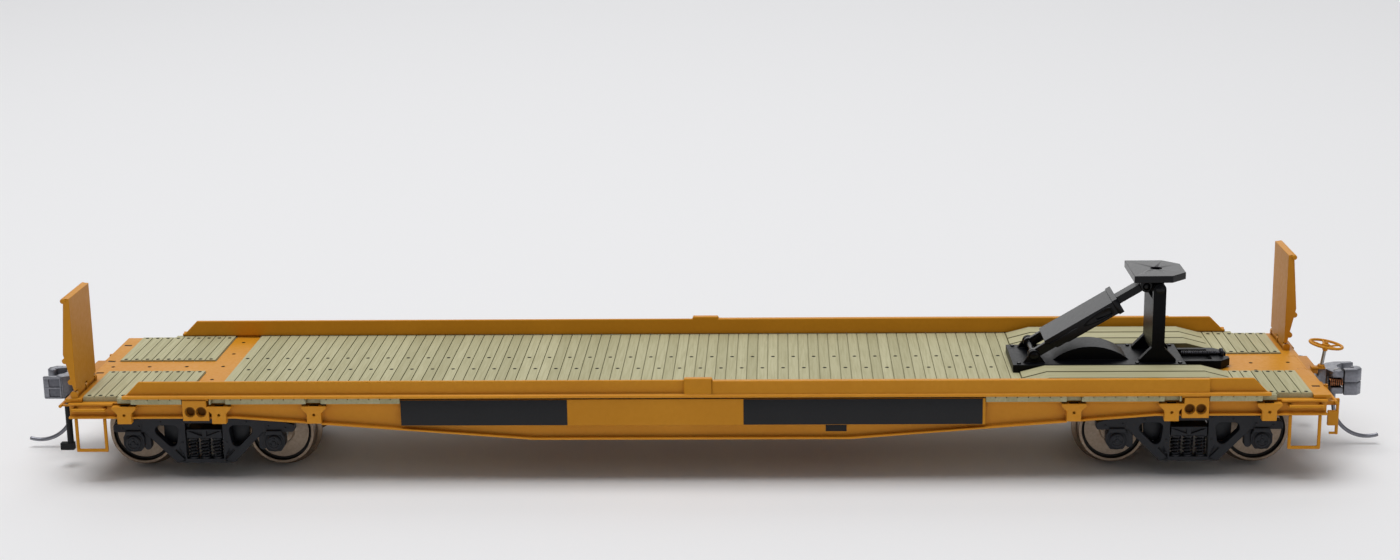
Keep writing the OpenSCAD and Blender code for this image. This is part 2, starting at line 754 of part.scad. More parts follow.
module hitch_screw() {
    x1 = trough_x1 - screw_head_l;
    color(metal) union() {
        rod_x(leg_x1 + play, x1, 0, screw_z, screw_r);
        rod_x(x1 - screw_head_l + play, x1, 0, screw_z, screw_head_r);
    }
}

timber_run = 1;
timber_x0 = hitch_x0 + timber_run;
timber_gap = 0.22;
timber_count = 3;
timber_bevel = 3.4;
timber_edge = 0.25;
module hitch_timbers() {
    y0 = hitch_w / 2 + timber_gap;
    y1 = panel_y;
    w = (y1 - y0) / timber_count;
    x1 = timber_x0 + timber_len;
    color(wood) both_sides() for (i = [0 : timber_count - 1])
        slab_y([[timber_x0, deck_top], [x1, deck_top], [x1, deck_top + timber_edge],
            [x1 - timber_bevel, base_z], [timber_x0 + timber_bevel, base_z],
            [timber_x0, deck_top + timber_edge]],
            y0 + i * w, y0 + (i + 1) * w - timber_gap);
}

// Bridge plates

hinge_inset = 0.7;
hinge_rise = 0.5;
hinge_x = end_x - hinge_inset;
hinge_z = plate_z + hinge_rise;
bridge_y = plank_y - bridge_inset;
hinge_pin_r = 0.25;
hinge_lug_r = 0.5;
hinge_lug_t = 0.8;
barrel_r = 0.45;
lip_r = 0.36;
lip_over = 0.2;
flange_top = 0.45;
rib_t = 0.3;
rib_d = 0.5;
taper_share = 0.42;
boss_shares = [0.13, 0.35];
boss_r = 0.4;
boss_t = 0.8;
// the plate of the B end, which stands on the +Y side
module bridge_plate() {
    y0 = bridge_y - bridge_w / 2;
    y1 = bridge_y + bridge_w / 2;
    z1 = hinge_z + bridge_h;
    taper_z = hinge_z + bridge_h * taper_share;
    inner = hinge_x - barrel_r + seam;
    outer = inner + bridge_t;
    color(paint) difference() {
        union() {
            box(inner, outer, y0, y1, hinge_z - barrel_r, z1);
            rod_y(hinge_x, y0, y1, hinge_z, barrel_r);
            // top flange with a rolled lip
            box(inner, outer + flange_top, y0, y1, z1 - bridge_t, z1);
            rod_y(outer + flange_top, y0 - lip_over, y1 + lip_over, z1 - lip_r + seam, lip_r);
            for (y = [y0, y1 - rib_t])
                slab_y([[outer - seam, hinge_z + barrel_r], [outer + bridge_flange, taper_z],
                    [outer + flange_top, z1 - lip_r], [outer - seam, z1 - lip_r]], y, y + rib_t);
            // small bosses on the edges of the side flanges
            for (y = [y0, y1 - boss_t], share = boss_shares) {
                rise = min(share / taper_share, 1) * bridge_flange;
                rod_y(outer + rise, y, y + boss_t, hinge_z + bridge_h * share, boss_r);
                box(outer - seam, outer + rise, y, y + boss_t, hinge_z + bridge_h * share - boss_r / 2,
                    hinge_z + bridge_h * share + boss_r / 2);
            }
            for (y = [bridge_y - bridge_w / 6, bridge_y + bridge_w / 6 - rib_t])
                box(outer - seam, outer + rib_d, y, y + rib_t, taper_z, z1 - lip_r);
        }
        rod_y(hinge_x, y0 - cut, y1 + cut, hinge_z, hinge_pin_r + play);
        // gaps in the barrel for the fixed lugs
        for (y = [y0, bridge_y - hinge_lug_t / 2, y1 - hinge_lug_t])
            box(hinge_x - barrel_r - cut, hinge_x + barrel_r + cut, y - play, y + hinge_lug_t + play,
                hinge_z - barrel_r - cut, hinge_z + hinge_lug_r + play);
    }
}

module bridge_hinge() {
    y0 = bridge_y - bridge_w / 2;
    y1 = bridge_y + bridge_w / 2;
    rod_y(hinge_x, y0, y1, hinge_z, hinge_pin_r);
    for (y = [y0, bridge_y - hinge_lug_t / 2, y1 - hinge_lug_t]) {
        rod_y(hinge_x, y, y + hinge_lug_t, hinge_z, hinge_lug_r);
        box(hinge_x - hinge_lug_r, hinge_x + hinge_lug_r - play, y, y + hinge_lug_t, plate_z, hinge_z);
    }
}

module bridge_hinges() {
    color(paint) {
        bridge_hinge();
        rotate([0, 0, 180]) bridge_hinge();
    }
}

// End fittings

step_x = end_x - step_inset;
module corner_steps() {
    x0 = step_x - step_w / 2;
    x1 = step_x + step_w / 2;
    y1 = sill_y + sill_lip_w - seam;
    // straps under the sill's lip
    color(paint) both_ends() both_sides() difference() {
        box(x0, x1, y1 - wire, y1, step_z, sill_end_z);
        box(x0 + wire, x1 - wire, y1 - wire - cut, y1 + cut, step_z + wire, sill_end_z + cut);
    }
}

grab_out = 1.1;
grab_z = 0.5;
grab_over = 0.1;
hold_out = 1.35;
hold_z = 0.6;
hold_y0 = 4.4;
hold_y1 = 0.1;
module grab_irons() {
    x0 = step_x - step_w / 2 - grab_over;
    x1 = step_x + step_w / 2 + grab_over;
    z = floor_z - sill_lip_t - grab_z;
    hold = floor_z - hold_z;
    color(paint) both_ends() both_sides() {
        union() {
            rod_x(x0, x1, sill_y + grab_out, z, wire / 2);
            for (x = [x0, x1 - wire])
                box(x, x + wire, sill_y, sill_y + grab_out, z - wire / 4, z + wire / 4);
        }
        // handhold on the end sill
        union() {
            rod_y(end_x + hold_out, sill_y - hold_y0, sill_y - hold_y1, hold, wire / 2);
            for (y = [sill_y - hold_y0, sill_y - sill_t - wire])
                box(end_x, end_x + hold_out, y, y + wire, hold - wire / 4, hold + wire / 4);
        }
    }
}

staff_out = 2.1;
staff_x = end_x + staff_out;
staff_y = -3;
staff_r = 0.25;
rim_r = 0.3;
spoke_r = 0.2;
spoke_count = 5;
staff_foot = 0.55;
wheel_hub_r = 0.5;
wheel_hub_h = 0.9;
module brake_wheel() {
    rise = brake_wheel_z + plate_drop;
    color(paint) union() {
        // foot bracket on the striker
        box(end_x + striker_t, staff_x + staff_foot, staff_y - staff_foot, staff_y + staff_foot,
            plate_z, plate_z + staff_foot);
        translate([staff_x, staff_y, plate_z]) rotate([0, staff_lean, 0]) {
            rod_z(0, 0, staff_foot / 2, rise + rim_r, staff_r);
            rod_z(0, 0, rise - wheel_hub_h, rise + rim_r / 2, wheel_hub_r);
            translate([0, 0, rise]) {
                rotate_extrude() translate([brake_wheel_d / 2 - rim_r, 0]) circle(rim_r);
                for (i = [0 : spoke_count - 1]) rotate([0, 90, i * 360 / spoke_count])
                    cylinder(h = brake_wheel_d / 2 - rim_r, r = spoke_r);
            }
        }
    }
}

lever_x = 2.1;
lever_z = 1.5;
lever_inset = 2.5;
lever_drop = 4.4;
lever_ear_inset = 3.5;
lever_ear_y = 5.6;
lever_foot = 1;
lever_foot_h = 0.3;
handle_w = 1.3;
handle_t = 0.5;
handle_drop = 1;
handle_h = 2.1;
// the lever of the B end, on the -Y side
module uncoupling_lever() {
    x = end_x + lever_x;
    y1 = sill_y - lever_inset;
    z = floor_z - lever_z;
    rod_y(x, -y1, -striker_w / 2, z, wire / 2);
    translate([x, -y1, z]) sphere(wire / 2);
    rod_z(x, -y1, z - lever_drop, z, wire / 2);
    // flat upper part and bent foot of the handle
    box(x - handle_w, x, -y1 - handle_t / 2, -y1 + handle_t / 2, z - handle_drop - handle_h,
        z - handle_drop);
    box(x - lever_foot, x, -y1 - wire / 4, -y1 + wire / 4, z - lever_drop, z - lever_drop + lever_foot_h);
    for (y = [lever_ear_y, sill_y - lever_ear_inset])
        box(end_x, x + wire, -y - wire / 2, -y + wire / 2, z - wire, z + wire);
}

module uncoupling_levers() {
    color(paint) {
        uncoupling_lever();
        rotate([0, 0, 180]) uncoupling_lever();
    }
}

hose_r = 0.45;
hose_y = 8.5;
hose_x = 2.7;
hose_top = 1.3;
hose_bottom = 3;
hose_bend = 0.9;
glad_l = 1.4;
glad_w = 1;
// hose of the B end, on the +Y side, out of the end sill and down
module air_hose() {
    z = floor_z - hose_top;
    x = end_x + hose_x;
    rod_x(end_x, x - hose_bend, hose_y, z, hose_r);
    translate([x - hose_bend, hose_y, z - hose_bend]) rotate([90, 0, 0])
        rotate_extrude(angle = 90) translate([hose_bend, 0]) circle(hose_r);
    rod_z(x, hose_y, hose_bottom, z - hose_bend, hose_r);
    box(x - glad_w / 2, x + glad_l, hose_y - glad_w / 2, hose_y + glad_w / 2,
        hose_bottom - glad_w / 2, hose_bottom + glad_w / 2);
}

module air_hoses() {
    color(black) {
        air_hose();
        rotate([0, 0, 180]) air_hose();
    }
}

// Brake gear under the floor

cylinder_l = 6;
cylinder_x = bay_x - cylinder_l / 2;
cylinder_r = 1.6;
cylinder_y = 8.4;
cylinder_z = 9.2;
piston_l = 4.2;
piston_r = 0.4;
saddle_w = 1.2;
module tank(x0, x1, y, z, r) {
    rod_x(x0, x1, y, z, r);
    for (x = [x0 + (x1 - x0) / 4, x1 - (x1 - x0) / 4])
        box(x - saddle_w / 2, x + saddle_w / 2, y - saddle_w, y + saddle_w, z, floor_z);
}

module brake_cylinder() {
    color(paint_dark) union() {
        tank(cylinder_x, cylinder_x + cylinder_l, -cylinder_y, cylinder_z, cylinder_r);
        rod_x(cylinder_x - piston_l, cylinder_x, -cylinder_y, cylinder_z, piston_r);
    }
}

tank_l = 9;
tank_x = -bay_x - tank_l / 2;
tank_r = 1.8;
module air_reservoir() {
    color(paint_dark) union() {
        tank(tank_x, tank_x + tank_l, cylinder_y, cylinder_z, tank_r);
        for (x = [tank_x, tank_x + tank_l]) translate([x, cylinder_y, cylinder_z])
            rod_x(-sill_lip_t, sill_lip_t, 0, 0, tank_r - sill_lip_t);
    }
}

valve_l = 3;
valve_x = bay_x - valve_l / 2;
valve_h = 2.4;
module control_valve() {
    color(paint_dark) union() {
        box(valve_x, valve_x + valve_l, cylinder_y - valve_l / 2, cylinder_y + valve_l / 2,
            floor_z - valve_h, floor_z);
        rod_y(valve_x + valve_l / 2, cylinder_y - valve_l, cylinder_y + valve_l,
            floor_z - valve_h / 2, valve_h / 4);
    }
}

pipe_end = 2;
branch_r = 0.25;
module train_pipe() {
    color(paint_dark) union() {
        rod_x(-draft_x0 + pipe_end, draft_x0 - pipe_end, pipe_y, pipe_z, pipe_r);
        // branch to the control valve
        rod_y(valve_x + valve_l / 2, pipe_y, cylinder_y - valve_l + seam, pipe_z, branch_r);
    }
}

// Bogies

pin_head_r = 1.7;
pin_head_t = 0.5;
bogie_top = center_end_z - center_plate_t - play;
bolster_z0 = 5.95;
bolster_z1 = 7.3;
module pivot_pins() {
    z = bolster_z0 - play;
    color(metal) both_ends() union() {
        rod_z(bogie_x, 0, z, floor_z - center_t, pivot_d / 2 - seam);
        rod_z(bogie_x, 0, z - pin_head_t, z, pin_head_r);
    }
}

axle_x = wheelbase / 2;
frame_bottom = 2.35;
frame_chord = 4.1;
frame_knee_in = 2.1;
frame_knee_z = 6.3;
frame_arm_in = 1.6;
frame_arm_z = 6.9;
frame_end = 2.9;
frame_end_z = 8;
frame_top_in = 1.6;
frame_top_z = 9.1;
frame_r = 0.4;
opening_x = 2.65;
opening_z0 = 2.95;
opening_z1 = 8.2;
window_x0 = 3.5;
window_foot_x = 4.1;
window_end_in = 2;
window_z0 = 3.95;
window_z1 = 7.9;
window_r = 0.75;
// box of a journal: x from the axle, z, in the outline's order
journal_outline = [
    [-1, 7.2], [1, 7.2], [1.5, 6.2], [1.5, 5], [0.9, 4.1], [-0.9, 4.1], [-1.5, 5], [-1.5, 6.2]
];
journal_round = 0.3;
journal_out = 0.2;
journal_r = 0.6;
cap_r = 1.3;
cap_ring = 0.25;
// slot beside the springs: x and z in the outline's order
slot_outline = [[2.95, 2.85], [4.25, 4.2], [4.05, 4.4], [2.95, 3.2]];
lug_x0 = 2.3;
lug_x1 = 1.3;
lug_z = 4.2;
frame_y1 = plank_y - frame_inset;
frame_y0 = frame_y1 - frame_t;
lid_y = frame_y1 + lid_out;
frame_half = [
    [frame_chord, frame_bottom], [axle_x - frame_knee_in, frame_knee_z],
    [axle_x - frame_arm_in, frame_arm_z], [axle_x + frame_end, frame_arm_z],
    [axle_x + frame_end, frame_end_z], [axle_x - frame_top_in, frame_top_z]
];
function flip(points) = [for (i = [len(points) - 1 : -1 : 0]) [-points[i][0], points[i][1]]];
window = [[window_foot_x, window_z0], [axle_x - window_end_in, window_z1], [window_x0, window_z1]];
module frame_plan() {
    difference() {
        polygon(rounded(concat(frame_half, flip(frame_half)), frame_r));
        polygon([[-opening_x, opening_z0], [opening_x, opening_z0], [opening_x, opening_z1],
            [-opening_x, opening_z1]]);
        polygon(rounded(window, window_r));
        polygon(rounded(flip(window), window_r));
    }
}

// journal box with its lid and the lug beside it, towards +X of the bogie
module journal_box() {
    slab_y(rounded([for (p = journal_outline) [axle_x + p[0], p[1]]], journal_round),
        frame_y0, frame_y1 + journal_out);
    rod_y(axle_x, frame_y1, lid_y - cap_ring, axle_z, cap_r);
    rod_y(axle_x, frame_y1, lid_y, axle_z, cap_r - cap_ring);
    x0 = axle_x - lug_x0;
    x1 = axle_x - lug_x1;
    r = (x1 - x0) / 2;
    box(x0, x1, frame_y0, frame_y1 - recess_d, lug_z + r, frame_arm_z + frame_r);
    rod_y(x0 + r, frame_y0, frame_y1 - recess_d, lug_z + r, r);
}

module side_frame() {
    difference() {
        union() {
            translate([0, frame_y1, 0]) rotate([90, 0, 0]) linear_extrude(frame_t) frame_plan();
            both_ends() journal_box();
        }
        both_ends() {
            rod_y(axle_x, frame_y0 - cut, frame_y1 - journal_r, axle_z, journal_r + play);
            slab_y(slot_outline, frame_y1 - recess_d, frame_y1 + cut);
        }
    }
}

module side_frames() {
    color(black) both_sides() side_frame();
}

bolster_mid_w = 6.4;
bolster_mid_l = 7;
panel_gap = 0.3;
module bogie_bolster() {
    y1 = frame_y1 - play;
    x1 = opening_x - play;
    tri = [[panel_gap, bolster_z1 - panel_gap], [x1 - panel_gap, bolster_z1 - panel_gap],
        [panel_gap, bolster_z0 + panel_gap]];
    color(black) difference() {
        union() {
            box(-x1, x1, -y1, y1, bolster_z0, bolster_z1);
            box(-bolster_mid_w / 2, bolster_mid_w / 2, -bolster_mid_l / 2, bolster_mid_l / 2,
                bolster_z0, bogie_top);
        }
        rod_z(0, 0, 0, bogie_top + cut, pivot_d / 2 + play);
        // three-cornered recesses in the ends
        both_sides() both_ends() slab_y(tri, y1 - recess_d, y1 + cut);
    }
}

spring_r = 0.75;
spring_core_r = 0.5;
spring_x = 1.7;
spring_turns = 6;
module springs() {
    color(black) both_sides() for (x = [-spring_x, 0, spring_x])
        translate([x, frame_y0 + frame_t / 2, opening_z0]) rotate_extrude()
            polygon(coil_points(spring_r, spring_core_r, bolster_z0 - opening_z0, spring_turns));
}

beam_gap = 0.9;
beam_w = 0.6;
beam_z = 4.15;
beam_h = 0.55;
shoe_gap = 0.3;
shoe_w = 1.4;
shoe_h = 2.1;
// cross beams with a shoe behind each wheel
module brake_beams() {
    x1 = axle_x - wheel_d / 2 - beam_gap;
    shoe_x = axle_x - wheel_d / 2 - shoe_gap;
    y0 = back_to_back / 2 + flange_t + shoe_gap;
    color(black) both_ends() union() {
        box(x1 - beam_w, x1, -frame_y0, frame_y0, beam_z, beam_z + beam_h);
        both_sides() box(x1 - beam_w, shoe_x, y0, y0 + shoe_w, beam_z, beam_z + shoe_h);
    }
}

rim_w = 0.75;
hub_r = 1.9;
web_in_d = 0.7;
flange_t = 0.75;
tread_taper = 0.12;
// one wheel, its back at y = 0 and its outer face at y = wheel_w
module wheel() {
    r = wheel_d / 2;
    rotate([-90, 0, 0]) rotate_extrude() polygon([
        [axle_d / 2 + seam / 2, 0], [hub_r, 0], [hub_r, web_in_d], [r - rim_w, web_in_d],
        [r - rim_w, 0], [r + flange_h / 2, 0], [r + flange_h, flange_t / 2], [r, flange_t],
        [r - tread_taper, wheel_w], [r - rim_w, wheel_w], [r - rim_w - tread_taper, wheel_w - web_in_d],
        [hub_r, wheel_w - web_in_d], [hub_r - tread_taper, wheel_w], [axle_d / 2 + seam / 2, wheel_w],
    ]);
}

module wheels() {
    color(bronze) both_sides() translate([0, back_to_back / 2, axle_z]) wheel();
}

module axle() {
    y1 = back_to_back / 2;
    shoulder = y1 + wheel_w + play;
    tip = frame_y1 - journal_r - play;
    color(metal) union() {
        rod_y(0, -shoulder, shoulder, axle_z, axle_d / 2);
        rod_y(0, -tip, tip, axle_z, journal_r);
    }
}

// Couplers

// coupler outlines in plan: x from the pulling face, y from the centre line, guard arm on +Y
head_outline = [
    [-6, -0.85], [-5, -1], [-4.7, -1.3], [-2.75, -1.3], [-2.75, -0.7], [-3.1, 0.1], [-2.9, 0.9],
    [-2.3, 1.35], [-1.95, 1.9], [-2.3, 2.5], [-3, 2.75], [-4.4, 2.1], [-5, 1.3], [-6, 0.85]
];
arm_outline = [[-4.9, -1.2], [-4.6, -2.1], [-4.2, -2.4], [-2.75, -2.4], [-2.75, -1.2]];
knuckle_outline = [
    [-2.6, -2.4], [-0.75, -2.4], [0, -1.6], [0, -0.6], [-0.35, -0.15], [-1.2, -0.1], [-1.4, -0.5],
    [-0.95, -0.85], [-1, -1.2], [-2.6, -1.25]
];
head_h = 3.4;
arm_gap = 1.45;
neck_x = 5.6;
trip_r = 0.28;
trip_in = 3.4;
trip_bend = 5.1;
trip_turn = asin((trip_reach + trip_in - trip_bend) / trip_bend);
coupler_x = end_x + coupler_reach;
function from_face(points) = [for (p = points) [coupler_x + p[0], p[1]]];
module coupler() {
    z0 = coupler_z - head_h / 2;
    trip_x = coupler_x - trip_in;
    color(metal) difference() {
        union() {
            box(coupler_pin_x, coupler_x - neck_x, -shank_w / 2, shank_w / 2, coupler_z - shank_h / 2,
                coupler_z + shank_h / 2);
            rod_z(coupler_pin_x, 0, coupler_z - shank_h / 2, coupler_z + shank_h / 2, coupler_eye_r);
            translate([0, 0, z0]) linear_extrude(head_h) polygon(from_face(head_outline));
            // arms above and below the spring
            for (z = [z0, coupler_z + arm_gap / 2]) translate([0, 0, z])
                linear_extrude(head_h / 2 - arm_gap / 2) polygon(from_face(arm_outline));
            // trip pin: down from the head and round a wide bend
            rod_z(trip_x, 0, trip_z + trip_bend, z0 + seam, trip_r);
            translate([trip_x + trip_bend, 0, trip_z + trip_bend]) rotate([90, 0, 0])
                rotate_extrude(angle = -90 - trip_turn, start = 270 + trip_turn)
                    translate([trip_bend, 0]) circle(trip_r);
        }
        rod_z(coupler_pin_x, 0, coupler_z - shank_h, coupler_z + shank_h, coupler_pin_r + play);
    }
}

module knuckle() {
    color(metal) translate([0, 0, coupler_z - knuckle_h / 2]) linear_extrude(knuckle_h)
        polygon(from_face(knuckle_outline));
}

coil_x0 = 4.75;
coil_x1 = 2.65;
coil_y = 2;
coil_r = 0.62;
coil_core_r = 0.4;
coil_turns = 5;
module knuckle_spring() {
    color(copper) translate([coupler_x - coil_x0, -coil_y, coupler_z]) rotate([0, 90, 0]) rotate_extrude()
        polygon(coil_points(coil_r, coil_core_r, coil_x0 - coil_x1, coil_turns));
}

center_sill();
body_bolsters();
crossbearers();
side_sill();  // side_sill_left
mirror([0, 1, 0]) side_sill();  // side_sill_right
letter_boards();
end_sills();
mirror([1, 0, 0]) end_plate(strip_a_w, 1);  // end_plate_a
end_plate(strip_b_w, -1);  // end_plate_b
deck_planks();
mirror([1, 0, 0]) end_planks(strip_a_w);  // end_planks_a
end_planks(strip_b_w);  // end_planks_b
rub_rail();  // rub_rail_left
mirror([0, 1, 0]) rub_rail();  // rub_rail_right
hitch_timbers();
hitch_base();
hitch_strut();
hitch_leg();
hitch_head();
hitch_screw();
bridge_hinges();
rotate([0, 0, 180]) bridge_plate();  // bridge_plate_a
bridge_plate();  // bridge_plate_b
corner_steps();
grab_irons();
brake_wheel();
uncoupling_levers();
air_hoses();
brake_cylinder();
air_reservoir();
control_valve();
train_pipe();
draft_boxes();
pivot_pins();
translate([-bogie_x, 0, 0]) side_frames();  // side_frames_a
translate([bogie_x, 0, 0]) side_frames();  // side_frames_b
translate([-bogie_x, 0, 0]) bogie_bolster();  // bogie_bolster_a
translate([bogie_x, 0, 0]) bogie_bolster();  // bogie_bolster_b
translate([-bogie_x, 0, 0]) springs();  // springs_a
translate([bogie_x, 0, 0]) springs();  // springs_b
translate([-bogie_x, 0, 0]) brake_beams();  // brake_beams_a
translate([bogie_x, 0, 0]) brake_beams();  // brake_beams_b
translate([-bogie_x - wheelbase / 2, 0, 0]) wheels();  // wheels_1
translate([-bogie_x + wheelbase / 2, 0, 0]) wheels();  // wheels_2
translate([bogie_x - wheelbase / 2, 0, 0]) wheels();  // wheels_3
translate([bogie_x + wheelbase / 2, 0, 0]) wheels();  // wheels_4
translate([-bogie_x - wheelbase / 2, 0, 0]) axle();  // axle_1
translate([-bogie_x + wheelbase / 2, 0, 0]) axle();  // axle_2
translate([bogie_x - wheelbase / 2, 0, 0]) axle();  // axle_3
translate([bogie_x + wheelbase / 2, 0, 0]) axle();  // axle_4
rotate([0, 0, 180]) coupler();  // coupler_a
coupler();  // coupler_b
rotate([0, 0, 180]) knuckle();  // knuckle_a
knuckle();  // knuckle_b
rotate([0, 0, 180]) knuckle_spring();  // knuckle_spring_a
knuckle_spring();  // knuckle_spring_b
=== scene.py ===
import json
import math
import bmesh
import bpy
from mathutils import Matrix, Vector


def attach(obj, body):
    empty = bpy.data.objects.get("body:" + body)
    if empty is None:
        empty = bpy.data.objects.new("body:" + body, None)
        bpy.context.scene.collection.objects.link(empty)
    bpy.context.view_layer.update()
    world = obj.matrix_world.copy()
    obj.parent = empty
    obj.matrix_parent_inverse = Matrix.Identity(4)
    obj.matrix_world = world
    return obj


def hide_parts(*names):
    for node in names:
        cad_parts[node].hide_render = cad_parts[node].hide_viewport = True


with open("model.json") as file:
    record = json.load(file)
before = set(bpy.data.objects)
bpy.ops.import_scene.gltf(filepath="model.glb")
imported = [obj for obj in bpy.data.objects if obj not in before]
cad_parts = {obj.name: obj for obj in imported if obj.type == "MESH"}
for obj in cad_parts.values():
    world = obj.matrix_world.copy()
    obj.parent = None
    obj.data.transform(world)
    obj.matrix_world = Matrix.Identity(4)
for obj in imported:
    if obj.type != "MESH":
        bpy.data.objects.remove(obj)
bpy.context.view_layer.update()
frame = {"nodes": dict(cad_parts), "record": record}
nodes = frame["nodes"]
mm = 0.001
upAxis = (0, 0, 1)
ends = (("a", -1), ("b", 1))
scene = bpy.context.scene
print("frame loaded:", len(nodes), "nodes")


# camera, solved from the deck's corners and the wheels
cameraLook = {"spot": (0.012445, -0.313055, 0.103507), "yaw": -0.037192, "pitch": -0.245291,
              "roll": -0.014207, "lens": 57.5, "sensor": 36, "clip": (0.01, 20)}


def makeCamera(look):
    yaw, pitch, roll = look["yaw"], look["pitch"], look["roll"]
    forward = Vector((math.sin(yaw) * math.cos(pitch), math.cos(yaw) * math.cos(pitch), math.sin(pitch)))
    level = Vector((math.cos(yaw), -math.sin(yaw), 0))
    upright = level.cross(forward)
    right = level * math.cos(roll) + upright * math.sin(roll)
    top = upright * math.cos(roll) - level * math.sin(roll)
    camera = bpy.data.objects.new("camera", bpy.data.cameras.new("camera"))
    scene.collection.objects.link(camera)
    turn = Matrix((right, top, -forward)).transposed()
    camera.matrix_world = Matrix.Translation(look["spot"]) @ turn.to_4x4()
    camera.data.lens = look["lens"]
    camera.data.sensor_width = look["sensor"]
    camera.data.clip_start, camera.data.clip_end = look["clip"]
    scene.camera = camera


makeCamera(cameraLook)


# floor, world and lamps; a lamp has its spot, size and power
studioLook = {"floorSize": 12, "floor": (0.86, 0.86, 0.87), "floorRough": 0.9,
              "world": (0.96, 0.97, 1.0), "worldLevel": 0.18,
              "lamps": [("keyLamp", (-0.12, -0.04, 1.15), 0.9, 10.6),
                        ("fillLamp", (0.7, -0.7, 0.45), 0.7, 0.55),
                        ("backLamp", (0.0, 1.3, 0.74), 1.4, 6.2)]}


def makeStudio(look):
    bpy.ops.mesh.primitive_plane_add(size=look["floorSize"])
    floor = bpy.context.object
    floor.name = "studioFloor"
    mat = bpy.data.materials.new("studioPaper")
    mat.use_nodes = True
    shader = mat.node_tree.nodes["Principled BSDF"]
    shader.inputs["Base Color"].default_value = (*look["floor"], 1)
    shader.inputs["Roughness"].default_value = look["floorRough"]
    floor.data.materials.append(mat)
    world = bpy.data.worlds.new("studioWorld")
    world.use_nodes = True
    scene.world = world
    back = world.node_tree.nodes["Background"]
    back.inputs[0].default_value = (*look["world"], 1)
    back.inputs[1].default_value = look["worldLevel"]
    for name, spot, size, power in look["lamps"]:
        lamp = bpy.data.objects.new(name, bpy.data.lights.new(name, "AREA"))
        scene.collection.objects.link(lamp)
        lamp.data.size = size
        lamp.data.energy = power
        lamp.location = spot
        lamp.rotation_euler = (-Vector(spot)).to_track_quat("-Z", "Y").to_euler()
    scene.view_settings.view_transform = "Standard"


makeStudio(studioLook)
print("camera and studio ready")


# finishes
def linear(hexText):
    parts = [int(hexText[i:i + 2], 16) / 255 for i in (0, 2, 4)]
    return tuple(c / 12.92 if c <= 0.04045 else ((c + 0.055) / 1.055) ** 2.4 for c in parts) + (1.0,)


def newFinish(name):
    mat = bpy.data.materials.new(name)
    mat.use_nodes = True
    return mat, mat.node_tree, mat.node_tree.nodes["Principled BSDF"]


def addNode(tree, kind, **sockets):
    node = tree.nodes.new(kind)
    for key, value in sockets.items():
        node.inputs[key].default_value = value
    return node


def feed(tree, socket, value):
    # a link from another socket, or a plain value
    if isinstance(value, bpy.types.NodeSocket):
        tree.links.new(value, socket)
    else:
        socket.default_value = value


def spotNoise(tree, scale, stretch=(1, 1, 1), detail=3.0):
    # noise in the car's own metres
    where = tree.nodes.new("ShaderNodeTexCoord")
    shift = addNode(tree, "ShaderNodeMapping", Scale=stretch)
    tree.links.new(where.outputs["Object"], shift.inputs["Vector"])
    noise = addNode(tree, "ShaderNodeTexNoise", Scale=scale, Detail=detail)
    tree.links.new(shift.outputs["Vector"], noise.inputs["Vector"])
    return noise.outputs["Fac"]


def mixColours(tree, factor, first, second):
    mix = tree.nodes.new("ShaderNodeMix")
    mix.data_type = "RGBA"
    for index, value in ((0, factor), (6, first), (7, second)):
        feed(tree, mix.inputs[index], value)
    return mix.outputs[2]


def remap(tree, value, source, result):
    node = tree.nodes.new("ShaderNodeMapRange")
    for i, number in enumerate((*source, *result)):
        node.inputs[i + 1].default_value = number
    tree.links.new(value, node.inputs[0])
    return node.outputs[0]


def shadeCorners(tree, colour, look, source):
    # painted shade: the colour darkens towards the corner shade colour in corners and creases, found by ambient
    # occlusion
    corner = addNode(tree, "ShaderNodeAmbientOcclusion", Distance=look["crease"])
    corner.samples = 6
    shadeStrength = remap(tree, corner.outputs["AO"], source, (look["cornerShadeMix"], 0.0))
    return mixColours(tree, shadeStrength, colour, linear(look["cornerShadeColour"]))


def addRelief(tree, shader, look, height):
    relief = addNode(tree, "ShaderNodeBump", Strength=look["bump"], Distance=look["bumpDepth"])
    tree.links.new(height, relief.inputs["Height"])
    tree.links.new(relief.outputs["Normal"], shader.inputs["Normal"])


# which part of the noise counts, for all the painted and metal finishes
noiseLook = {"patch": (0.35, 0.65), "grain": (0.3, 0.8), "rough": (0.3, 0.7), "corner": (0.25, 0.85),
             "grainDetail": 5.0, "bumpDetail": 2.0}


def finish(name, look):
    mat, tree, shader = newFinish(name)
    stretch = look.get("stretch", (1, 1, 1))
    broad = spotNoise(tree, look["patch"], stretch)
    fine = spotNoise(tree, look["grain"], stretch, noiseLook["grainDetail"])
    patchy = remap(tree, broad, noiseLook["patch"], (0.0, 1.0))
    colour = mixColours(tree, patchy, linear(look["colour"]), linear(look["patchColour"]))
    grainy = remap(tree, fine, noiseLook["grain"], (0.0, look["grainMix"]))
    colour = mixColours(tree, grainy, colour, linear(look["grainColour"]))
    # painted shade in corners and creases, for each finish that has a corner shade colour
    if "cornerShadeColour" in look:
        colour = shadeCorners(tree, colour, look, noiseLook["corner"])
    tree.links.new(colour, shader.inputs["Base Color"])
    tree.links.new(remap(tree, fine, noiseLook["rough"], look["rough"]), shader.inputs["Roughness"])
    shader.inputs["Metallic"].default_value = look.get("metal", 0.0)
    shader.inputs["Specular IOR Level"].default_value = look.get("specular", 0.5)
    addRelief(tree, shader, look, spotNoise(tree, look["bumpScale"], detail=noiseLook["bumpDetail"]))
    return mat
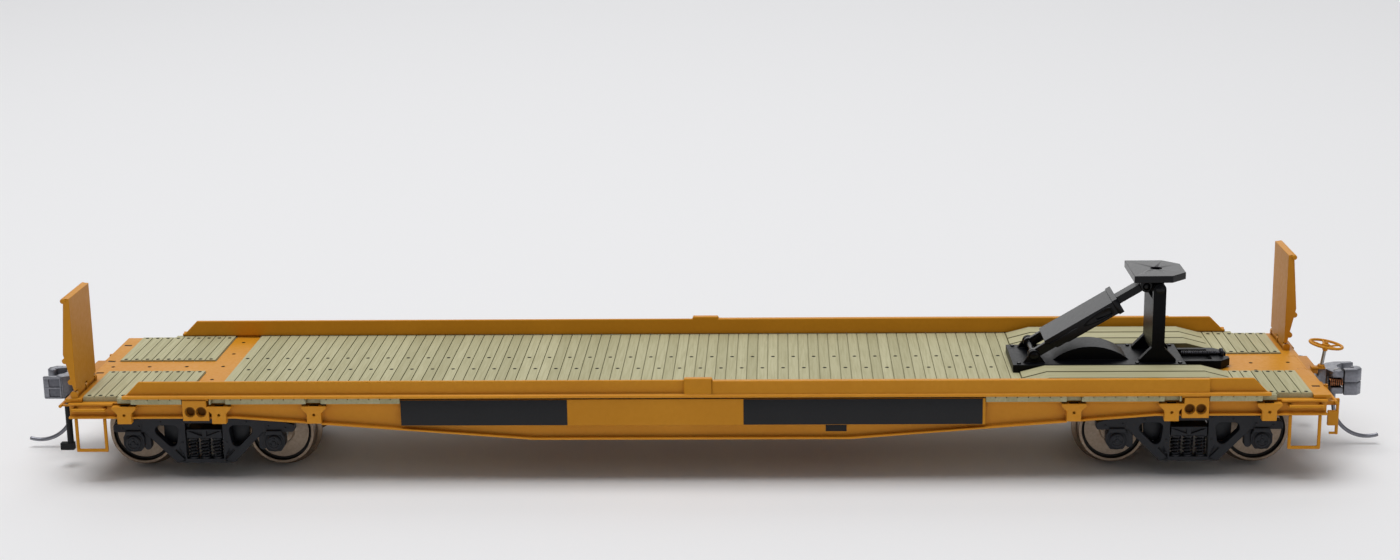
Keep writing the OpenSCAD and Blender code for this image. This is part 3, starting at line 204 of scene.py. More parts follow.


# the corner shade colour, reach and mix set the painted shade in corners and creases
orangeLook = {"colour": "D49020", "patchColour": "CE8A1C", "grainColour": "C48015", "grainMix": 0.35,
              "cornerShadeColour": "6E430A", "crease": 0.9 * mm, "cornerShadeMix": 0.7, "patch": 90, "grain": 1800,
              "rough": (0.4, 0.5), "specular": 0.2, "bump": 0.12, "bumpDepth": 0.03 * mm, "bumpScale": 5200}
# a lighter copy of the orange for the side sills, pocket lids and rail foot: painted light, as the car has one
# orange paint
sillPaintedLight = dict(orangeLook, colour="E09A2C", patchColour="DA9328", grainColour="D08820", cornerShadeMix=0.6)
# a darker copy of the orange for the underframe and draft boxes: painted shade, as the car has one orange paint
shadeLook = dict(orangeLook, colour="C5821D", patchColour="BE7B19", grainColour="B07013",
                 cornerShadeColour="5E390A")
# dark brown for the discs and rims in the casting recesses: painted shade
recessLook = dict(orangeLook, colour="8E5C17", patchColour="835414", grainColour="70460F",
                  cornerShadeColour="3A2408", rough=(0.55, 0.7), specular=0.15)
# near black for the blocks in the stake pocket holes and the open deck slots: painted shade
holeLook = dict(recessLook, colour="2A1B08", patchColour="241707", grainColour="1B1105",
                cornerShadeColour="0E0903")
boardLook = {"colour": "131417", "patchColour": "17181B", "grainColour": "222326", "grainMix": 0.5,
             "patch": 120, "grain": 2400, "rough": (0.42, 0.55), "specular": 0.3,
             "bump": 0.1, "bumpDepth": 0.02 * mm, "bumpScale": 5200}
blackLook = {"colour": "14161C", "patchColour": "181A21", "grainColour": "1F222A", "grainMix": 0.6,
             "cornerShadeColour": "050506", "crease": 0.8 * mm, "cornerShadeMix": 0.7, "patch": 160, "grain": 2600,
             "rough": (0.4, 0.52), "specular": 0.35, "bump": 0.16, "bumpDepth": 0.03 * mm, "bumpScale": 4200}
hitchLook = dict(blackLook, colour="07080C", patchColour="090A0F", grainColour="0D0E14", grainMix=0.3,
                 rough=(0.22, 0.27), specular=0.22, bump=0.04)
baseLook = dict(hitchLook, rough=(0.32, 0.4), specular=0.1)
wheelLook = {"colour": "9C8A78", "patchColour": "8F7D6B", "grainColour": "6F5E50", "grainMix": 0.55,
             "patch": 220, "grain": 3200, "rough": (0.28, 0.42), "metal": 0.75,
             "bump": 0.15, "bumpDepth": 0.02 * mm, "bumpScale": 5200}
plateLook = dict(wheelLook, colour="B9A692", patchColour="AE9A86", grainColour="8C7A69", metal=0.35,
                 rough=(0.42, 0.55))
grooveLook = dict(boardLook, colour="15130F", patchColour="1B1713", grainColour="262019")
boltLook = dict(grooveLook, colour="0B0A08", patchColour="0E0C0A", grainColour="14110E", specular=0.04)
steelLook = {"colour": "A8A7A5", "patchColour": "9A9997", "grainColour": "7F7E7C", "grainMix": 0.5,
             "patch": 260, "grain": 3600, "rough": (0.24, 0.38), "metal": 0.95,
             "bump": 0.12, "bumpDepth": 0.02 * mm, "bumpScale": 5200, "stretch": (1, 0.15, 1)}
castLook = {"colour": "8F9097", "patchColour": "808188", "grainColour": "62636A", "grainMix": 0.5,
            "cornerShadeColour": "1C1D20", "crease": 0.8 * mm, "cornerShadeMix": 0.7, "patch": 300, "grain": 2600,
            "rough": (0.28, 0.42), "metal": 0.85, "bump": 0.25, "bumpDepth": 0.04 * mm, "bumpScale": 3600}
# a darker copy of the coupler metal for the sunk panels: painted shade
panelShadeLook = dict(castLook, colour="6C6D74", patchColour="62636A", grainColour="4C4D53")
darkSteelLook = dict(steelLook, colour="3C3C40", patchColour="333337", grainColour="242427")
copperLook = dict(steelLook, colour="C98A62", patchColour="BC7C55", grainColour="9A6040")
rubberLook = dict(boardLook, colour="141416", patchColour="1A1A1C", rough=(0.55, 0.7))

finishes = {"orange": finish("orangePaint", orangeLook), "sill": finish("sillPaintedLight", sillPaintedLight),
            "shade": finish("orangePaintedShade", shadeLook), "recess": finish("recessPaintedShade", recessLook),
            "hole": finish("holePaintedShade", holeLook), "board": finish("blackBoard", boardLook),
            "black": finish("bogieBlack", blackLook), "hitch": finish("hitchBlack", hitchLook),
            "base": finish("hitchBaseBlack", baseLook), "wheel": finish("wheelRim", wheelLook),
            "plate": finish("wheelPlate", plateLook), "groove": finish("wheelGroove", grooveLook),
            "steel": finish("bareSteel", steelLook), "darkSteel": finish("darkSteel", darkSteelLook),
            "cast": finish("couplerMetal", castLook), "panel": finish("couplerPanelShade", panelShadeLook),
            "bolt": finish("boltBlack", boltLook), "copper": finish("springCopper", copperLook),
            "rubber": finish("hoseRubber", rubberLook)}

# planks: one shade for each plank, grain along it; sideShift keeps the two ends' shades apart
plankLook = {"pale": "BDB893", "dark": "ADA883", "sideShift": 37.3,
             "grainColour": "938D69", "grain": 3800, "grainDetail": 4.0, "grainPart": (0.42, 0.72),
             "grainMix": 0.4,
             # corner shade colour, reach and mix: painted shade in corners and in the grooves between planks
             "cornerShadeColour": "5E5938", "crease": 0.5 * mm, "corner": (0.3, 0.9), "cornerShadeMix": 0.4,
             "seam": (0.05, 0.11), "seamMix": 0.85, "roughPart": (0.3, 0.7), "rough": (0.62, 0.78),
             "specular": 0.3, "bump": 0.35, "bumpDepth": 0.05 * mm,
             "main": {"start": 67.4 * mm, "pitch": 134.8 / 90 * mm, "stretch": (1, 0.05, 1)},
             "end": {"start": 71.3 * mm, "pitch": 14.3 / 9 * mm, "stretch": (1, 0.05, 1)},
             "timber": {"start": 5.51 * mm, "pitch": 9.83 / 3 * mm, "stretch": (0.05, 1, 1)}}


def plankFinish(name, look, kind):
    mat, tree, shader = newFinish(name)
    start, pitch, stretch = (look[kind][key] for key in ("start", "pitch", "stretch"))
    where = tree.nodes.new("ShaderNodeTexCoord")
    split = tree.nodes.new("ShaderNodeSeparateXYZ")
    tree.links.new(where.outputs["Object"], split.inputs[0])
    along = split.outputs["Y" if kind == "timber" else "X"]

    def maths(operation, first, second=0.0):
        node = tree.nodes.new("ShaderNodeMath")
        node.operation = operation
        feed(tree, node.inputs[0], first)
        feed(tree, node.inputs[1], second)
        return node.outputs[0]

    if kind == "main":
        reach = maths("ADD", along, start)
    else:
        reach = maths("SUBTRACT", maths("ABSOLUTE", along), start)
    number = maths("FLOOR", maths("DIVIDE", reach, pitch))
    side = maths("MULTIPLY", maths("SIGN", along), look["sideShift"])
    chance = tree.nodes.new("ShaderNodeTexWhiteNoise")
    chance.noise_dimensions = "1D"
    tree.links.new(maths("ADD", number, side), chance.inputs["W"])
    colour = mixColours(tree, chance.outputs["Value"], linear(look["pale"]), linear(look["dark"]))
    grain = spotNoise(tree, look["grain"], stretch, look["grainDetail"])
    grainy = remap(tree, grain, look["grainPart"], (0.0, look["grainMix"]))
    colour = mixColours(tree, grainy, colour, linear(look["grainColour"]))
    # painted shade in corners and in the grooves between planks
    colour = shadeCorners(tree, colour, look, look["corner"])
    if kind == "timber":
        # dark lines where two timbers meet, in the colour of the painted corner shade
        share = maths("FRACT", maths("DIVIDE", reach, pitch))
        edge = maths("MINIMUM", share, maths("SUBTRACT", 1.0, share))
        seam = remap(tree, edge, look["seam"], (look["seamMix"], 0.0))
        colour = mixColours(tree, seam, colour, linear(look["cornerShadeColour"]))
    tree.links.new(colour, shader.inputs["Base Color"])
    tree.links.new(remap(tree, grain, look["roughPart"], look["rough"]), shader.inputs["Roughness"])
    shader.inputs["Specular IOR Level"].default_value = look["specular"]
    addRelief(tree, shader, look, grain)
    return mat


for kind in ("main", "end", "timber"):
    finishes[kind] = plankFinish(kind + "Planks", plankLook, kind)
print("finishes ready:", len(finishes))


# mesh tools, all in millimetres until a piece is placed
def span(sign, first, second):
    # a stretch on one side of the middle, lower value first
    return sorted((sign * first, sign * second))


def around(middle, half):
    return middle - half, middle + half


def circle(count):
    return [(math.cos(t), math.sin(t)) for t in (2 * math.pi * i / count for i in range(count))]


def lathe(bm, profile, centre, axis, steps=48, finishOf=None):
    # profile: (radius, distance along the axis)
    axis = Vector(axis).normalized()
    side = axis.orthogonal().normalized()
    other = axis.cross(side)
    rings = []
    for radius, along in profile:
        base = Vector(centre) + axis * along
        if radius < 1e-6:
            rings.append([bm.verts.new(base)])
            continue
        rings.append([bm.verts.new(base + (side * c + other * s) * radius) for c, s in circle(steps)])
    for i in range(len(rings) - 1):
        low, high = rings[i], rings[i + 1]
        for j in range(steps):
            k = (j + 1) % steps
            if len(low) == 1 and len(high) == 1:
                continue
            if len(low) == 1:
                face = bm.faces.new((low[0], high[k], high[j]))
            elif len(high) == 1:
                face = bm.faces.new((low[j], low[k], high[0]))
            else:
                face = bm.faces.new((low[j], low[k], high[k], high[j]))
            if finishOf:
                face.material_index = finishOf[i]


def rod(bm, radius, start, stop, centre, axis, steps, finishIndex=0):
    profile = [(0, start), (radius, start), (radius, stop), (0, stop)]
    lathe(bm, profile, centre, axis, steps, [finishIndex] * 3)


def tube(bm, path, radius, sides=8, finishIndex=0):
    points = [Vector(p) for p in path]
    rings = []
    side = None
    for i, point in enumerate(points):
        ahead = (points[min(i + 1, len(points) - 1)] - points[max(i - 1, 0)]).normalized()
        side = ahead.orthogonal() if side is None else side - ahead * side.dot(ahead)
        side = side.normalized()
        other = ahead.cross(side)
        rings.append([bm.verts.new(point + (side * c + other * s) * radius) for c, s in circle(sides)])
    for low, high in zip(rings, rings[1:]):
        for j in range(sides):
            k = (j + 1) % sides
            bm.faces.new((low[j], low[k], high[k], high[j])).material_index = finishIndex
    for ring in (rings[0][::-1], rings[-1]):
        bm.faces.new(ring).material_index = finishIndex


def helix(base, axis, radius, height, turns, perTurn=16):
    axis = Vector(axis).normalized()
    side = axis.orthogonal().normalized()
    other = axis.cross(side)
    count = int(turns * perTurn)
    path = []
    for i in range(count + 1):
        angle = 2 * math.pi * i / perTurn
        out = side * math.cos(angle) + other * math.sin(angle)
        path.append(Vector(base) + axis * height * i / count + out * radius)
    return path


def bolt(bm, spot, axis, radius, height, sides=6):
    # low head with a bevelled top
    lathe(bm, [(0, 0), (radius, 0), (radius, height * 0.6), (radius * 0.75, height), (0, height)],
          spot, axis, sides)


def block(bm, xs, ys, zs, edge, finishIndex=0):
    made = bmesh.ops.create_cube(bm, size=1)["verts"]
    for v in made:
        v.co = [low + (c + 0.5) * (high - low) for c, (low, high) in zip(v.co, (xs, ys, zs))]
    for f in {f for v in made for f in v.link_faces}:
        f.material_index = finishIndex
    if edge:
        edges = list({e for v in made for e in v.link_edges})
        bmesh.ops.bevel(bm, geom=edges, offset=edge, segments=2, profile=0.5, affect="EDGES",
                        clamp_overlap=True)


def slab(bm, outline, low, high, edge):
    # outline in plan, drawn up from low to high
    ring = [bm.verts.new((x, y, low)) for x, y in outline]
    base = bm.faces.new(ring)
    drawn = bmesh.ops.extrude_face_region(bm, geom=[base])["geom"]
    raised = [v for v in drawn if isinstance(v, bmesh.types.BMVert)]
    for v in raised:
        v.co.z = high
    made = set(ring) | set(raised)
    bmesh.ops.recalc_face_normals(bm, faces=list({f for v in made for f in v.link_faces}))
    sharp = [e for e in {e for v in made for e in v.link_edges} if e.calc_face_angle(0) > math.radians(35)]
    bmesh.ops.bevel(bm, geom=sharp, offset=edge, segments=2, profile=0.5, affect="EDGES",
                    clamp_overlap=True)


def place(name, bm, body, used, stands=(), sharp=32):
    bmesh.ops.recalc_face_normals(bm, faces=bm.faces)
    bmesh.ops.scale(bm, vec=(mm, mm, mm), verts=bm.verts)
    mesh = bpy.data.meshes.new(name)
    bm.to_mesh(mesh)
    bm.free()
    mesh.polygons.foreach_set("use_smooth", [True] * len(mesh.polygons))
    mesh.set_sharp_from_angle(angle=math.radians(sharp))
    piece = bpy.data.objects.new(name, mesh)
    scene.collection.objects.link(piece)
    for key in used:
        mesh.materials.append(finishes[key])
    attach(piece, body)
    if stands:
        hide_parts(*stands)
    return piece


# the finish of every solid, as it is or under the piece that stands for it
plainNodes = {"orange": ["letter_boards", "end_sills", "end_plate_a", "end_plate_b", "rub_rail_left",
                         "rub_rail_right", "bridge_hinges", "bridge_plate_a", "bridge_plate_b",
                         "corner_steps", "grab_irons", "uncoupling_levers", "brake_wheel"],
              "sill": ["side_sill_left", "side_sill_right"],
              "shade": ["center_sill", "body_bolsters", "crossbearers", "brake_cylinder", "air_reservoir",
                        "control_valve", "train_pipe", "draft_boxes"],
              "main": ["deck_planks"], "end": ["end_planks_a", "end_planks_b"], "timber": ["hitch_timbers"],
              "black": ["side_frames_a", "side_frames_b", "bogie_bolster_a", "bogie_bolster_b",
                        "springs_a", "springs_b", "brake_beams_a", "brake_beams_b"],
              "hitch": ["hitch_strut", "hitch_head"], "base": ["hitch_base", "hitch_leg"],
              "darkSteel": ["hitch_screw"],
              "steel": ["pivot_pins", "axle_1", "axle_2", "axle_3", "axle_4"],
              "wheel": ["wheels_1", "wheels_2", "wheels_3", "wheels_4"],
              "cast": ["coupler_a", "coupler_b", "knuckle_a", "knuckle_b"], "rubber": ["air_hoses"],
              "copper": ["knuckle_spring_a", "knuckle_spring_b"]}
for key, names in plainNodes.items():
    for name in names:
        nodes[name].data.materials.clear()
        nodes[name].data.materials.append(finishes[key])


# solids that keep their form and get small rounded edges: edge width and slot for each finish
softLook = {"orange": (0.07, "orange_paint"), "sill": (0.07, "orange_paint"),
            "shade": (0.07, "orange_shade"), "black": (0.08, "black_plastic"),
            "hitch": (0.07, "black_plastic"), "base": (0.07, "black_plastic"), "cast": (0.1, "coupler_metal")}
wideEdges = {"rub_rail_left": 0.15, "rub_rail_right": 0.15, "corner_steps": 0.15}
softEdges = {"steps": 2, "angle": 40, "merge": 0.002, "flatWeight": 100}
softNodes = {"orange": ["letter_boards", "end_sills", "end_plate_a", "end_plate_b", "rub_rail_left",
                        "rub_rail_right", "bridge_plate_a", "bridge_plate_b", "corner_steps"],
             "sill": ["side_sill_left", "side_sill_right"],
             "black": ["side_frames_a", "side_frames_b", "bogie_bolster_a", "bogie_bolster_b"],
             "hitch": ["hitch_strut", "hitch_head"], "base": ["hitch_base", "hitch_leg"],
             "cast": ["coupler_a", "coupler_b"], "shade": ["draft_boxes"]}


def soften(node, body, key, look):
    width, slotName = softLook[key]
    bm = bmesh.new()
    bm.from_mesh(nodes[node].data)
    bmesh.ops.scale(bm, vec=(1 / mm,) * 3, verts=bm.verts)
    bmesh.ops.remove_doubles(bm, verts=bm.verts, dist=look["merge"])
    least = math.radians(look["angle"])
    crisp = [e for e in bm.edges if len(e.link_faces) == 2 and e.calc_face_angle() > least]
    bmesh.ops.bevel(bm, geom=crisp, offset=wideEdges.get(node, width), offset_type="OFFSET",
                    segments=look["steps"], profile=0.5, affect="EDGES", clamp_overlap=False)
    piece = place("soft_" + node, bm, body, [key], [node], look["angle"])
    # keeps the broad faces flat between their rounded edges
    flat = piece.modifiers.new("flatFaces", "WEIGHTED_NORMAL")
    flat.weight = look["flatWeight"]
    flat.keep_sharp = True


bodyOf = {name: body for body, names in frame["record"]["behaviour"]["bodies"].items() for name in names}
for key, names in softNodes.items():
    for name in names:
        soften(name, bodyOf[name], key, softEdges)
print("softened:", sum(len(names) for names in softNodes.values()))


# blank black boards along the sides and a small tag below; the far side is turned half round
boardsLook = {"boards": [(-40.55, -17.3), (7.2, 40.2)], "boardZ": (8.62, 12.29), "boardFace": 16.98,
              "tag": (18.6, 21.5), "tagZ": (7.3, 8.5), "tagFace": 15.93, "thick": 0.05, "edge": 0.015}


def makeBoards(look):
    bm = bmesh.new()
    plates = [(xs, look["boardZ"], look["boardFace"]) for xs in look["boards"]]
    plates.append((look["tag"], look["tagZ"], look["tagFace"]))
    for turn in (1, -1):
        for xs, zs, face in plates:
            block(bm, span(turn, *xs), span(-turn, face, face + look["thick"]), zs, look["edge"])
    place("sideBoards", bm, "car", ["board"])


makeBoards(boardsLook)


# round bolts in the planks and in the steel strips; a middle row is on even (0) or odd (1) planks
boltsLook = {"radius": 0.29, "height": 0.03, "sides": 10, "top": 12.55, "steelTop": 12.35,
             "dish": [(1, -1), (1, 0.4), (0.8, 1), (0.55, 1), (0.45, 0.2), (0, 0.2)],
             "rows": [(-2.4, 1), (3.5, 0)], "planks": 90, "planksX": (-67.4, 67.4), "hitchFrom": 44.6,
             "panelRows": {-1: (3.35, 14.95), 1: (5.15, 14.95)}, "panelPlanks": 9, "panelX": (71.3, 85.6),
             "bareTo": 76, "bareBeyond": 6,
             "strip": [(-85.8, 0), (-80.4, 0), (-74.9, 0), (-69.5, 0), (-69.5, 6.7), (-69.5, -6.7),
                       (-69.5, 13), (-69.5, -13), (80.24, -0.1), (80.2, -3.9), (85.6, 0.1), (69.3, 13),
                       (69.3, -13)]}


def makeDeckBolts(look):
    bm = bmesh.new()
    # dished head: rim and sunk middle
    dish = [(look["radius"] * r, look["height"] * h) for r, h in look["dish"]]

    def dimple(x, y, z):
        lathe(bm, dish, (x, y, z), upAxis, look["sides"])

    first, last = look["planksX"]
    step = (last - first) / look["planks"]
    for i in range(look["planks"]):
        x = first + (i + 0.5) * step
        for y, turn in look["rows"]:
            if i % 2 == turn and x < look["hitchFrom"]:
                dimple(x, y, look["top"])
    first, last = look["panelX"]
    step = (last - first) / look["panelPlanks"]
    for i in range(look["panelPlanks"]):
        x = first + (i + 0.5) * step
        for end, rows in look["panelRows"].items():
            for y in rows:
                # end B has no outer bolts beside the rub rails
                if end > 0 and x < look["bareTo"] and y > look["bareBeyond"]:
                    continue
                for side in (-1, 1):
                    dimple(end * x, side * y, look["top"])
    for x, y in look["strip"]:
        dimple(x, y, look["steelTop"])
    place("deckBolts", bm, "car", ["bolt"])


makeDeckBolts(boltsLook)


# sill trim: pocket lids and dark holes, plank ends in the notches, casting recesses, packing under the
# rub rails and their rounded foot, slots and covers at the ends of the deck; the dark holes, the discs in the
# recesses and the slot floors are painted shade, the lids and the foot are painted light in the lighter sill
# orange
sillLook = {"pockets": (52.76, 66.13, 79.5),
            "holeHalf": 0.64, "holeY": (16.12, 16.86), "holeZ": (11.3, 11.468),
            "lidHalf": 1.64, "lidY": (16.02, 17.06), "lidZ": (11.38, 11.462), "lidEdge": 0.02,
            "notchHalf": 1.02, "notchY": (16.0, 16.45), "notchZ": (11.79, 12.54), "notchEdge": 0.04,
            "castings": (68.57, 70.13), "castingY": 16.4, "castingFace": 17.08, "castingZ": 10.7,
            "castingR": 0.66, "castingDeep": 0.03, "castingSteps": 28,
            "castingRim": [(0.64, -0.1), (0.64, 0.02), (0.75, 0.02), (0.77, -0.05)],
            "packX": (67.5, 71.2), "packY": (16.2, 16.95), "packZ": (12.3, 12.57),
            "slotX": (86.37, 87.43), "slotHalf": 0.29, "slotZ": (11.9, 12.33),
            "slotPair": 3, "slotSide": 11.7,
            "coverX": (87.4, 87.6), "coverHalf": 3.36, "coverZ": (12.302, 12.362),
            "sideCoverX": (87.4, 88.0), "sideCoverY": 3.52, "sideCoverHalf": 0.13,
            "railEnd": 79.6, "railY": 16.98, "railZ": 12.8, "bead": 0.26, "beadSides": 14}


def makeSillTrim(look):
    shade, beads, wood = bmesh.new(), bmesh.new(), bmesh.new()
    for end in (-1, 1):
        for side in (-1, 1):
            for x in look["pockets"]:
                # dark block in each pocket hole: painted shade
                block(shade, around(end * x, look["holeHalf"]), span(side, *look["holeY"]),
                      look["holeZ"], 0, 1)
                block(beads, around(end * x, look["lidHalf"]), span(side, *look["lidY"]),
                      look["lidZ"], look["lidEdge"])
                block(wood, around(end * x, look["notchHalf"]), span(side, *look["notchY"]),
                      look["notchZ"], look["notchEdge"])
            for x in look["castings"]:
                out, z, steps = (0, side, 0), look["castingZ"], look["castingSteps"]
                # dark disc and rim in each casting recess: painted shade
                rod(shade, look["castingR"], 0, look["castingDeep"], (end * x, side * look["castingY"], z),
                    out, steps)
                lathe(shade, look["castingRim"], (end * x, side * look["castingFace"], z), out, steps)
            block(beads, span(end, *look["packX"]), span(side, *look["packY"]), look["packZ"], 0, 1)
            # side covers over the joint with the striker
            block(beads, span(end, *look["sideCoverX"]),
                  around(side * look["sideCoverY"], look["sideCoverHalf"]), look["coverZ"], 0, 1)
        block(beads, span(end, *look["coverX"]), around(0, look["coverHalf"]), look["coverZ"], 0, 1)
        # slots near the ends of the deck with dark floors just under the deck top, painted shade; the pair by the
        # brake wheel is filled
        pair = look["slotPair"]
        for y in (-pair, pair, -end * look["slotSide"]):
            filled = end > 0 and abs(y) == pair
            block(beads if filled else shade, span(end, *look["slotX"]), around(y, look["slotHalf"]),
                  look["slotZ"], 0, 1)
    # rounded foot along each rub rail, in the lighter sill orange: painted light
    for side in (-1, 1):
        foot = [(end * look["railEnd"], side * look["railY"], look["railZ"]) for end in (-1, 1)]
        tube(beads, foot, look["bead"], look["beadSides"])
    # dark holes, recess discs and rims, and open slot floors: painted shade
    place("sillPaintedShade", shade, "car", ["recess", "hole"])
    # lids and rail foot in the lighter sill orange, painted light; packing, covers and filled slots in the orange
    place("railBeads", beads, "car", ["sill", "orange"])
    place("notchPlanks", wood, "car", ["main"])


makeSillTrim(sillLook)
print("boards, deck bolts and sill trim placed")


# wheels: turned profile with rim, dark groove and paler plate
wheelShape = {"axleX": (-79.12, -59.12, 59.12, 79.12), "axleZ": 5.46, "back": 7.25, "width": 2.65,
              "tread": 4.81, "flange": 5.46, "bore": 1.02, "hub": 1.7, "steps": 72}


def makeWheels(look):
    w, r, flange, hub, bore = (look[key] for key in ("width", "tread", "flange", "hub", "bore"))
    back = [(bore, 0), (hub, 0), (hub + 0.1, 0.35), (2.6, 0.62), (3.5, 0.6), (3.95, 0.3), (4.1, 0.02)]
    tread = [(flange - 0.34, 0), (flange - 0.12, 0.08), (flange, 0.3), (flange - 0.06, 0.5), (r + 0.22, 0.66),
             (r + 0.04, 0.82), (r, 1.0), (r - 0.1, w - 0.08), (r - 0.18, w)]
    groove = [(4.32, w), (4.26, w - 0.03), (4.2, w - 0.7), (3.9, w - 0.78)]
    face = [(3.84, w - 0.55), (3.4, w - 0.62), (2.4, w - 0.72), (hub + 0.12, w - 0.55)]
    bush = [(hub, w - 0.08), (hub - 0.1, w), (bore, w), (bore, 0)]
    # finishes along the profile: rim, groove, plate, hub
    parts = [0] * 17 + [2] * 3 + [1] * 4 + [0] * 3
    for number, x in enumerate(look["axleX"], 1):
        bm = bmesh.new()
        for side in (-1, 1):
            lathe(bm, back + tread + groove + face + bush, (x, side * look["back"], look["axleZ"]),
                  (0, side, 0), look["steps"], parts)
        place("turnedWheels_%d" % number, bm, "wheelset_%d" % number, ["wheel", "plate", "groove"],
              ["wheels_%d" % number], 30)


makeWheels(wheelShape)


# bogie coils, as wound springs with end rings
springShape = {"x": (-1.7, 0, 1.7), "y": 13.65, "low": 2.95, "high": 5.95, "radius": 0.6, "wire": 0.15,
               "turns": 5.5, "core": 0.3, "coreSteps": 16, "ringHigh": 0.24, "ringSteps": 24,
               "ring": [(0, 0), (0.74, 0), (0.75, 0.06), (0.75, 0.18), (0.74, 0.24), (0, 0.24)]}


def makeCoils(look, end, centre):
    bm = bmesh.new()
    low, high, wire = look["low"], look["high"], look["wire"]
    height = high - low - 2 * wire
    for side in (-1, 1):
        for x in look["x"]:
            spot = (centre + x, side * look["y"], low + wire)
            tube(bm, helix(spot, upAxis, look["radius"], height, look["turns"]), wire)
            for z in (low, high - look["ringHigh"]):
                lathe(bm, look["ring"], (centre + x, side * look["y"], z), upAxis, look["ringSteps"])
            rod(bm, look["core"], 0, height, spot, upAxis, look["coreSteps"])
    place("coils_" + end, bm, "bogie_" + end, ["black"], ["springs_" + end])


# caps, bolts, rivets and seats on the bogie frames, and plates behind their windows, standing for the brake
# hangers and darkening the windows as painted shade
bogieTrim = {"axles": (-10.0, 10.0), "axleZ": 5.46, "capY": 14.9, "capSteps": 32,
             "cap": [(1.0, -0.2), (1.0, 0.05), (0.9, 0.12), (0.78, 0.12), (0.7, 0.04), (0.3, 0.04),
                     (0.24, 0.14), (0, 0.16)],
             "capTurns": (90, 210, 330), "capBoltAt": 0.58, "capBoltOut": 0.03, "capBolt": (0.19, 0.13),
             "rivets": [(3.1, 8.65), (-3.1, 8.65), (6.1, 8.4), (-6.1, 8.4), (3.15, 5.4), (-3.15, 5.4),
                        (3.15, 3.6), (-3.15, 3.6), (9.2, 7.75), (-9.2, 7.75), (11.6, 7.5), (-11.6, 7.5)],
             "rivetY": 14.38, "rivet": (0.16, 0.12, 8),
             "seatHalf": 1.15, "seatY": (14.52, 14.74), "seatZ": (6.55, 7.15),
             "backX": (3.3, 6.1), "backY": (12.55, 12.8), "backZ": (4.8, 8.2), "edge": 0.05}


def makeBogieTrim(look, end, centre):
    bm = bmesh.new()
    for side in (-1, 1):
        out = (0, side, 0)
        for x in look["axles"]:
            spot = Vector((centre + x, side * look["capY"], look["axleZ"]))
            lathe(bm, look["cap"], spot, out, look["capSteps"])
            for turn in look["capTurns"]:
                across = math.cos(math.radians(turn)) * look["capBoltAt"]
                above = math.sin(math.radians(turn)) * look["capBoltAt"]
                bolt(bm, spot + Vector((across, side * look["capBoltOut"], above)), out, *look["capBolt"])
            # adapter seat over the bearing
            block(bm, around(centre + x, look["seatHalf"]), span(side, *look["seatY"]), look["seatZ"],
                  look["edge"])
        for x, z in look["rivets"]:
            bolt(bm, (centre + x, side * look["rivetY"], z), out, *look["rivet"])
        # black plates behind the windows: brake hangers, and painted shade in the windows
        for turn in (-1, 1):
            xs = [centre + x for x in span(turn, *look["backX"])]
            block(bm, xs, span(side, *look["backY"]), look["backZ"], look["edge"])
    place("bogieTrim_" + end, bm, "bogie_" + end, ["black"])


bogieCentre = 69.12
for end, sign in ends:
    makeCoils(springShape, end, sign * bogieCentre)
    makeBogieTrim(bogieTrim, end, sign * bogieCentre)
print("wheels and bogies dressed")


# knuckles in two halves with a seam between them; x from the pulling face
knuckleShape = {"face": 95.8, "mid": 10.0, "half": 1.9, "seam": 0.05, "edge": 0.12,
                "coreHalf": 0.3, "coreEdge": 0.02,
                "outline": [(-2.6, -2.4), (-0.75, -2.4), (0, -1.6), (0, -0.6), (-0.35, -0.15), (-1.2, -0.1),
                            (-1.4, -0.5), (-0.95, -0.85), (-1, -1.2), (-2.6, -1.25)],
                "core": [(-2.5, -2.25), (-0.8, -2.25), (-0.15, -1.55), (-0.15, -1.0), (-0.85, -1.3),
                         (-2.5, -1.35)]}


def makeKnuckles(look):
    mid = look["mid"]
    for end, sign in ends:
        bm = bmesh.new()
        outline, core = ([((look["face"] + x) * sign, y * sign) for x, y in look[key]]
                         for key in ("outline", "core"))
        slab(bm, outline, mid + look["seam"], mid + look["half"], look["edge"])
        slab(bm, outline, mid - look["half"], mid - look["seam"], look["edge"])
        slab(bm, core, *around(mid, look["coreHalf"]), look["coreEdge"])
        place("castKnuckle_" + end, bm, "coupler_" + end, ["cast"], ["knuckle_" + end], 40)


makeKnuckles(knuckleShape)


# guard arms: a wall out to the pulling face, two sunk panels on its outer side in a darker copy of the coupler
# metal as painted shade, a wire arch over the spring
guardShape = {"face": 95.8, "mid": 10.0, "half": 1.64, "wallEdge": 0.08,
              "wall": [(-3.0, 1.75), (-0.3, 2.2), (-0.25, 2.6), (-0.5, 2.75), (-3.2, 2.75)],
              "frameX": (-3.0, -0.45), "frameY": (2.7, 2.92), "frameEdge": 0.05, "rim": 0.3,
              "posts": [(-2.97, -2.7), (-1.15, -0.48)], "postDrop": 0.03,
              "panelX": (-2.8, -1.1), "panelFace": 2.772,
              "wire": [(-4.2, 1.6), (-4.0, 1.8), (-3.7, 1.92), (-3.4, 1.96), (-3.1, 1.9), (-2.85, 1.75),
                       (-2.7, 1.6)], "wireY": -1.9, "wireR": 0.07}


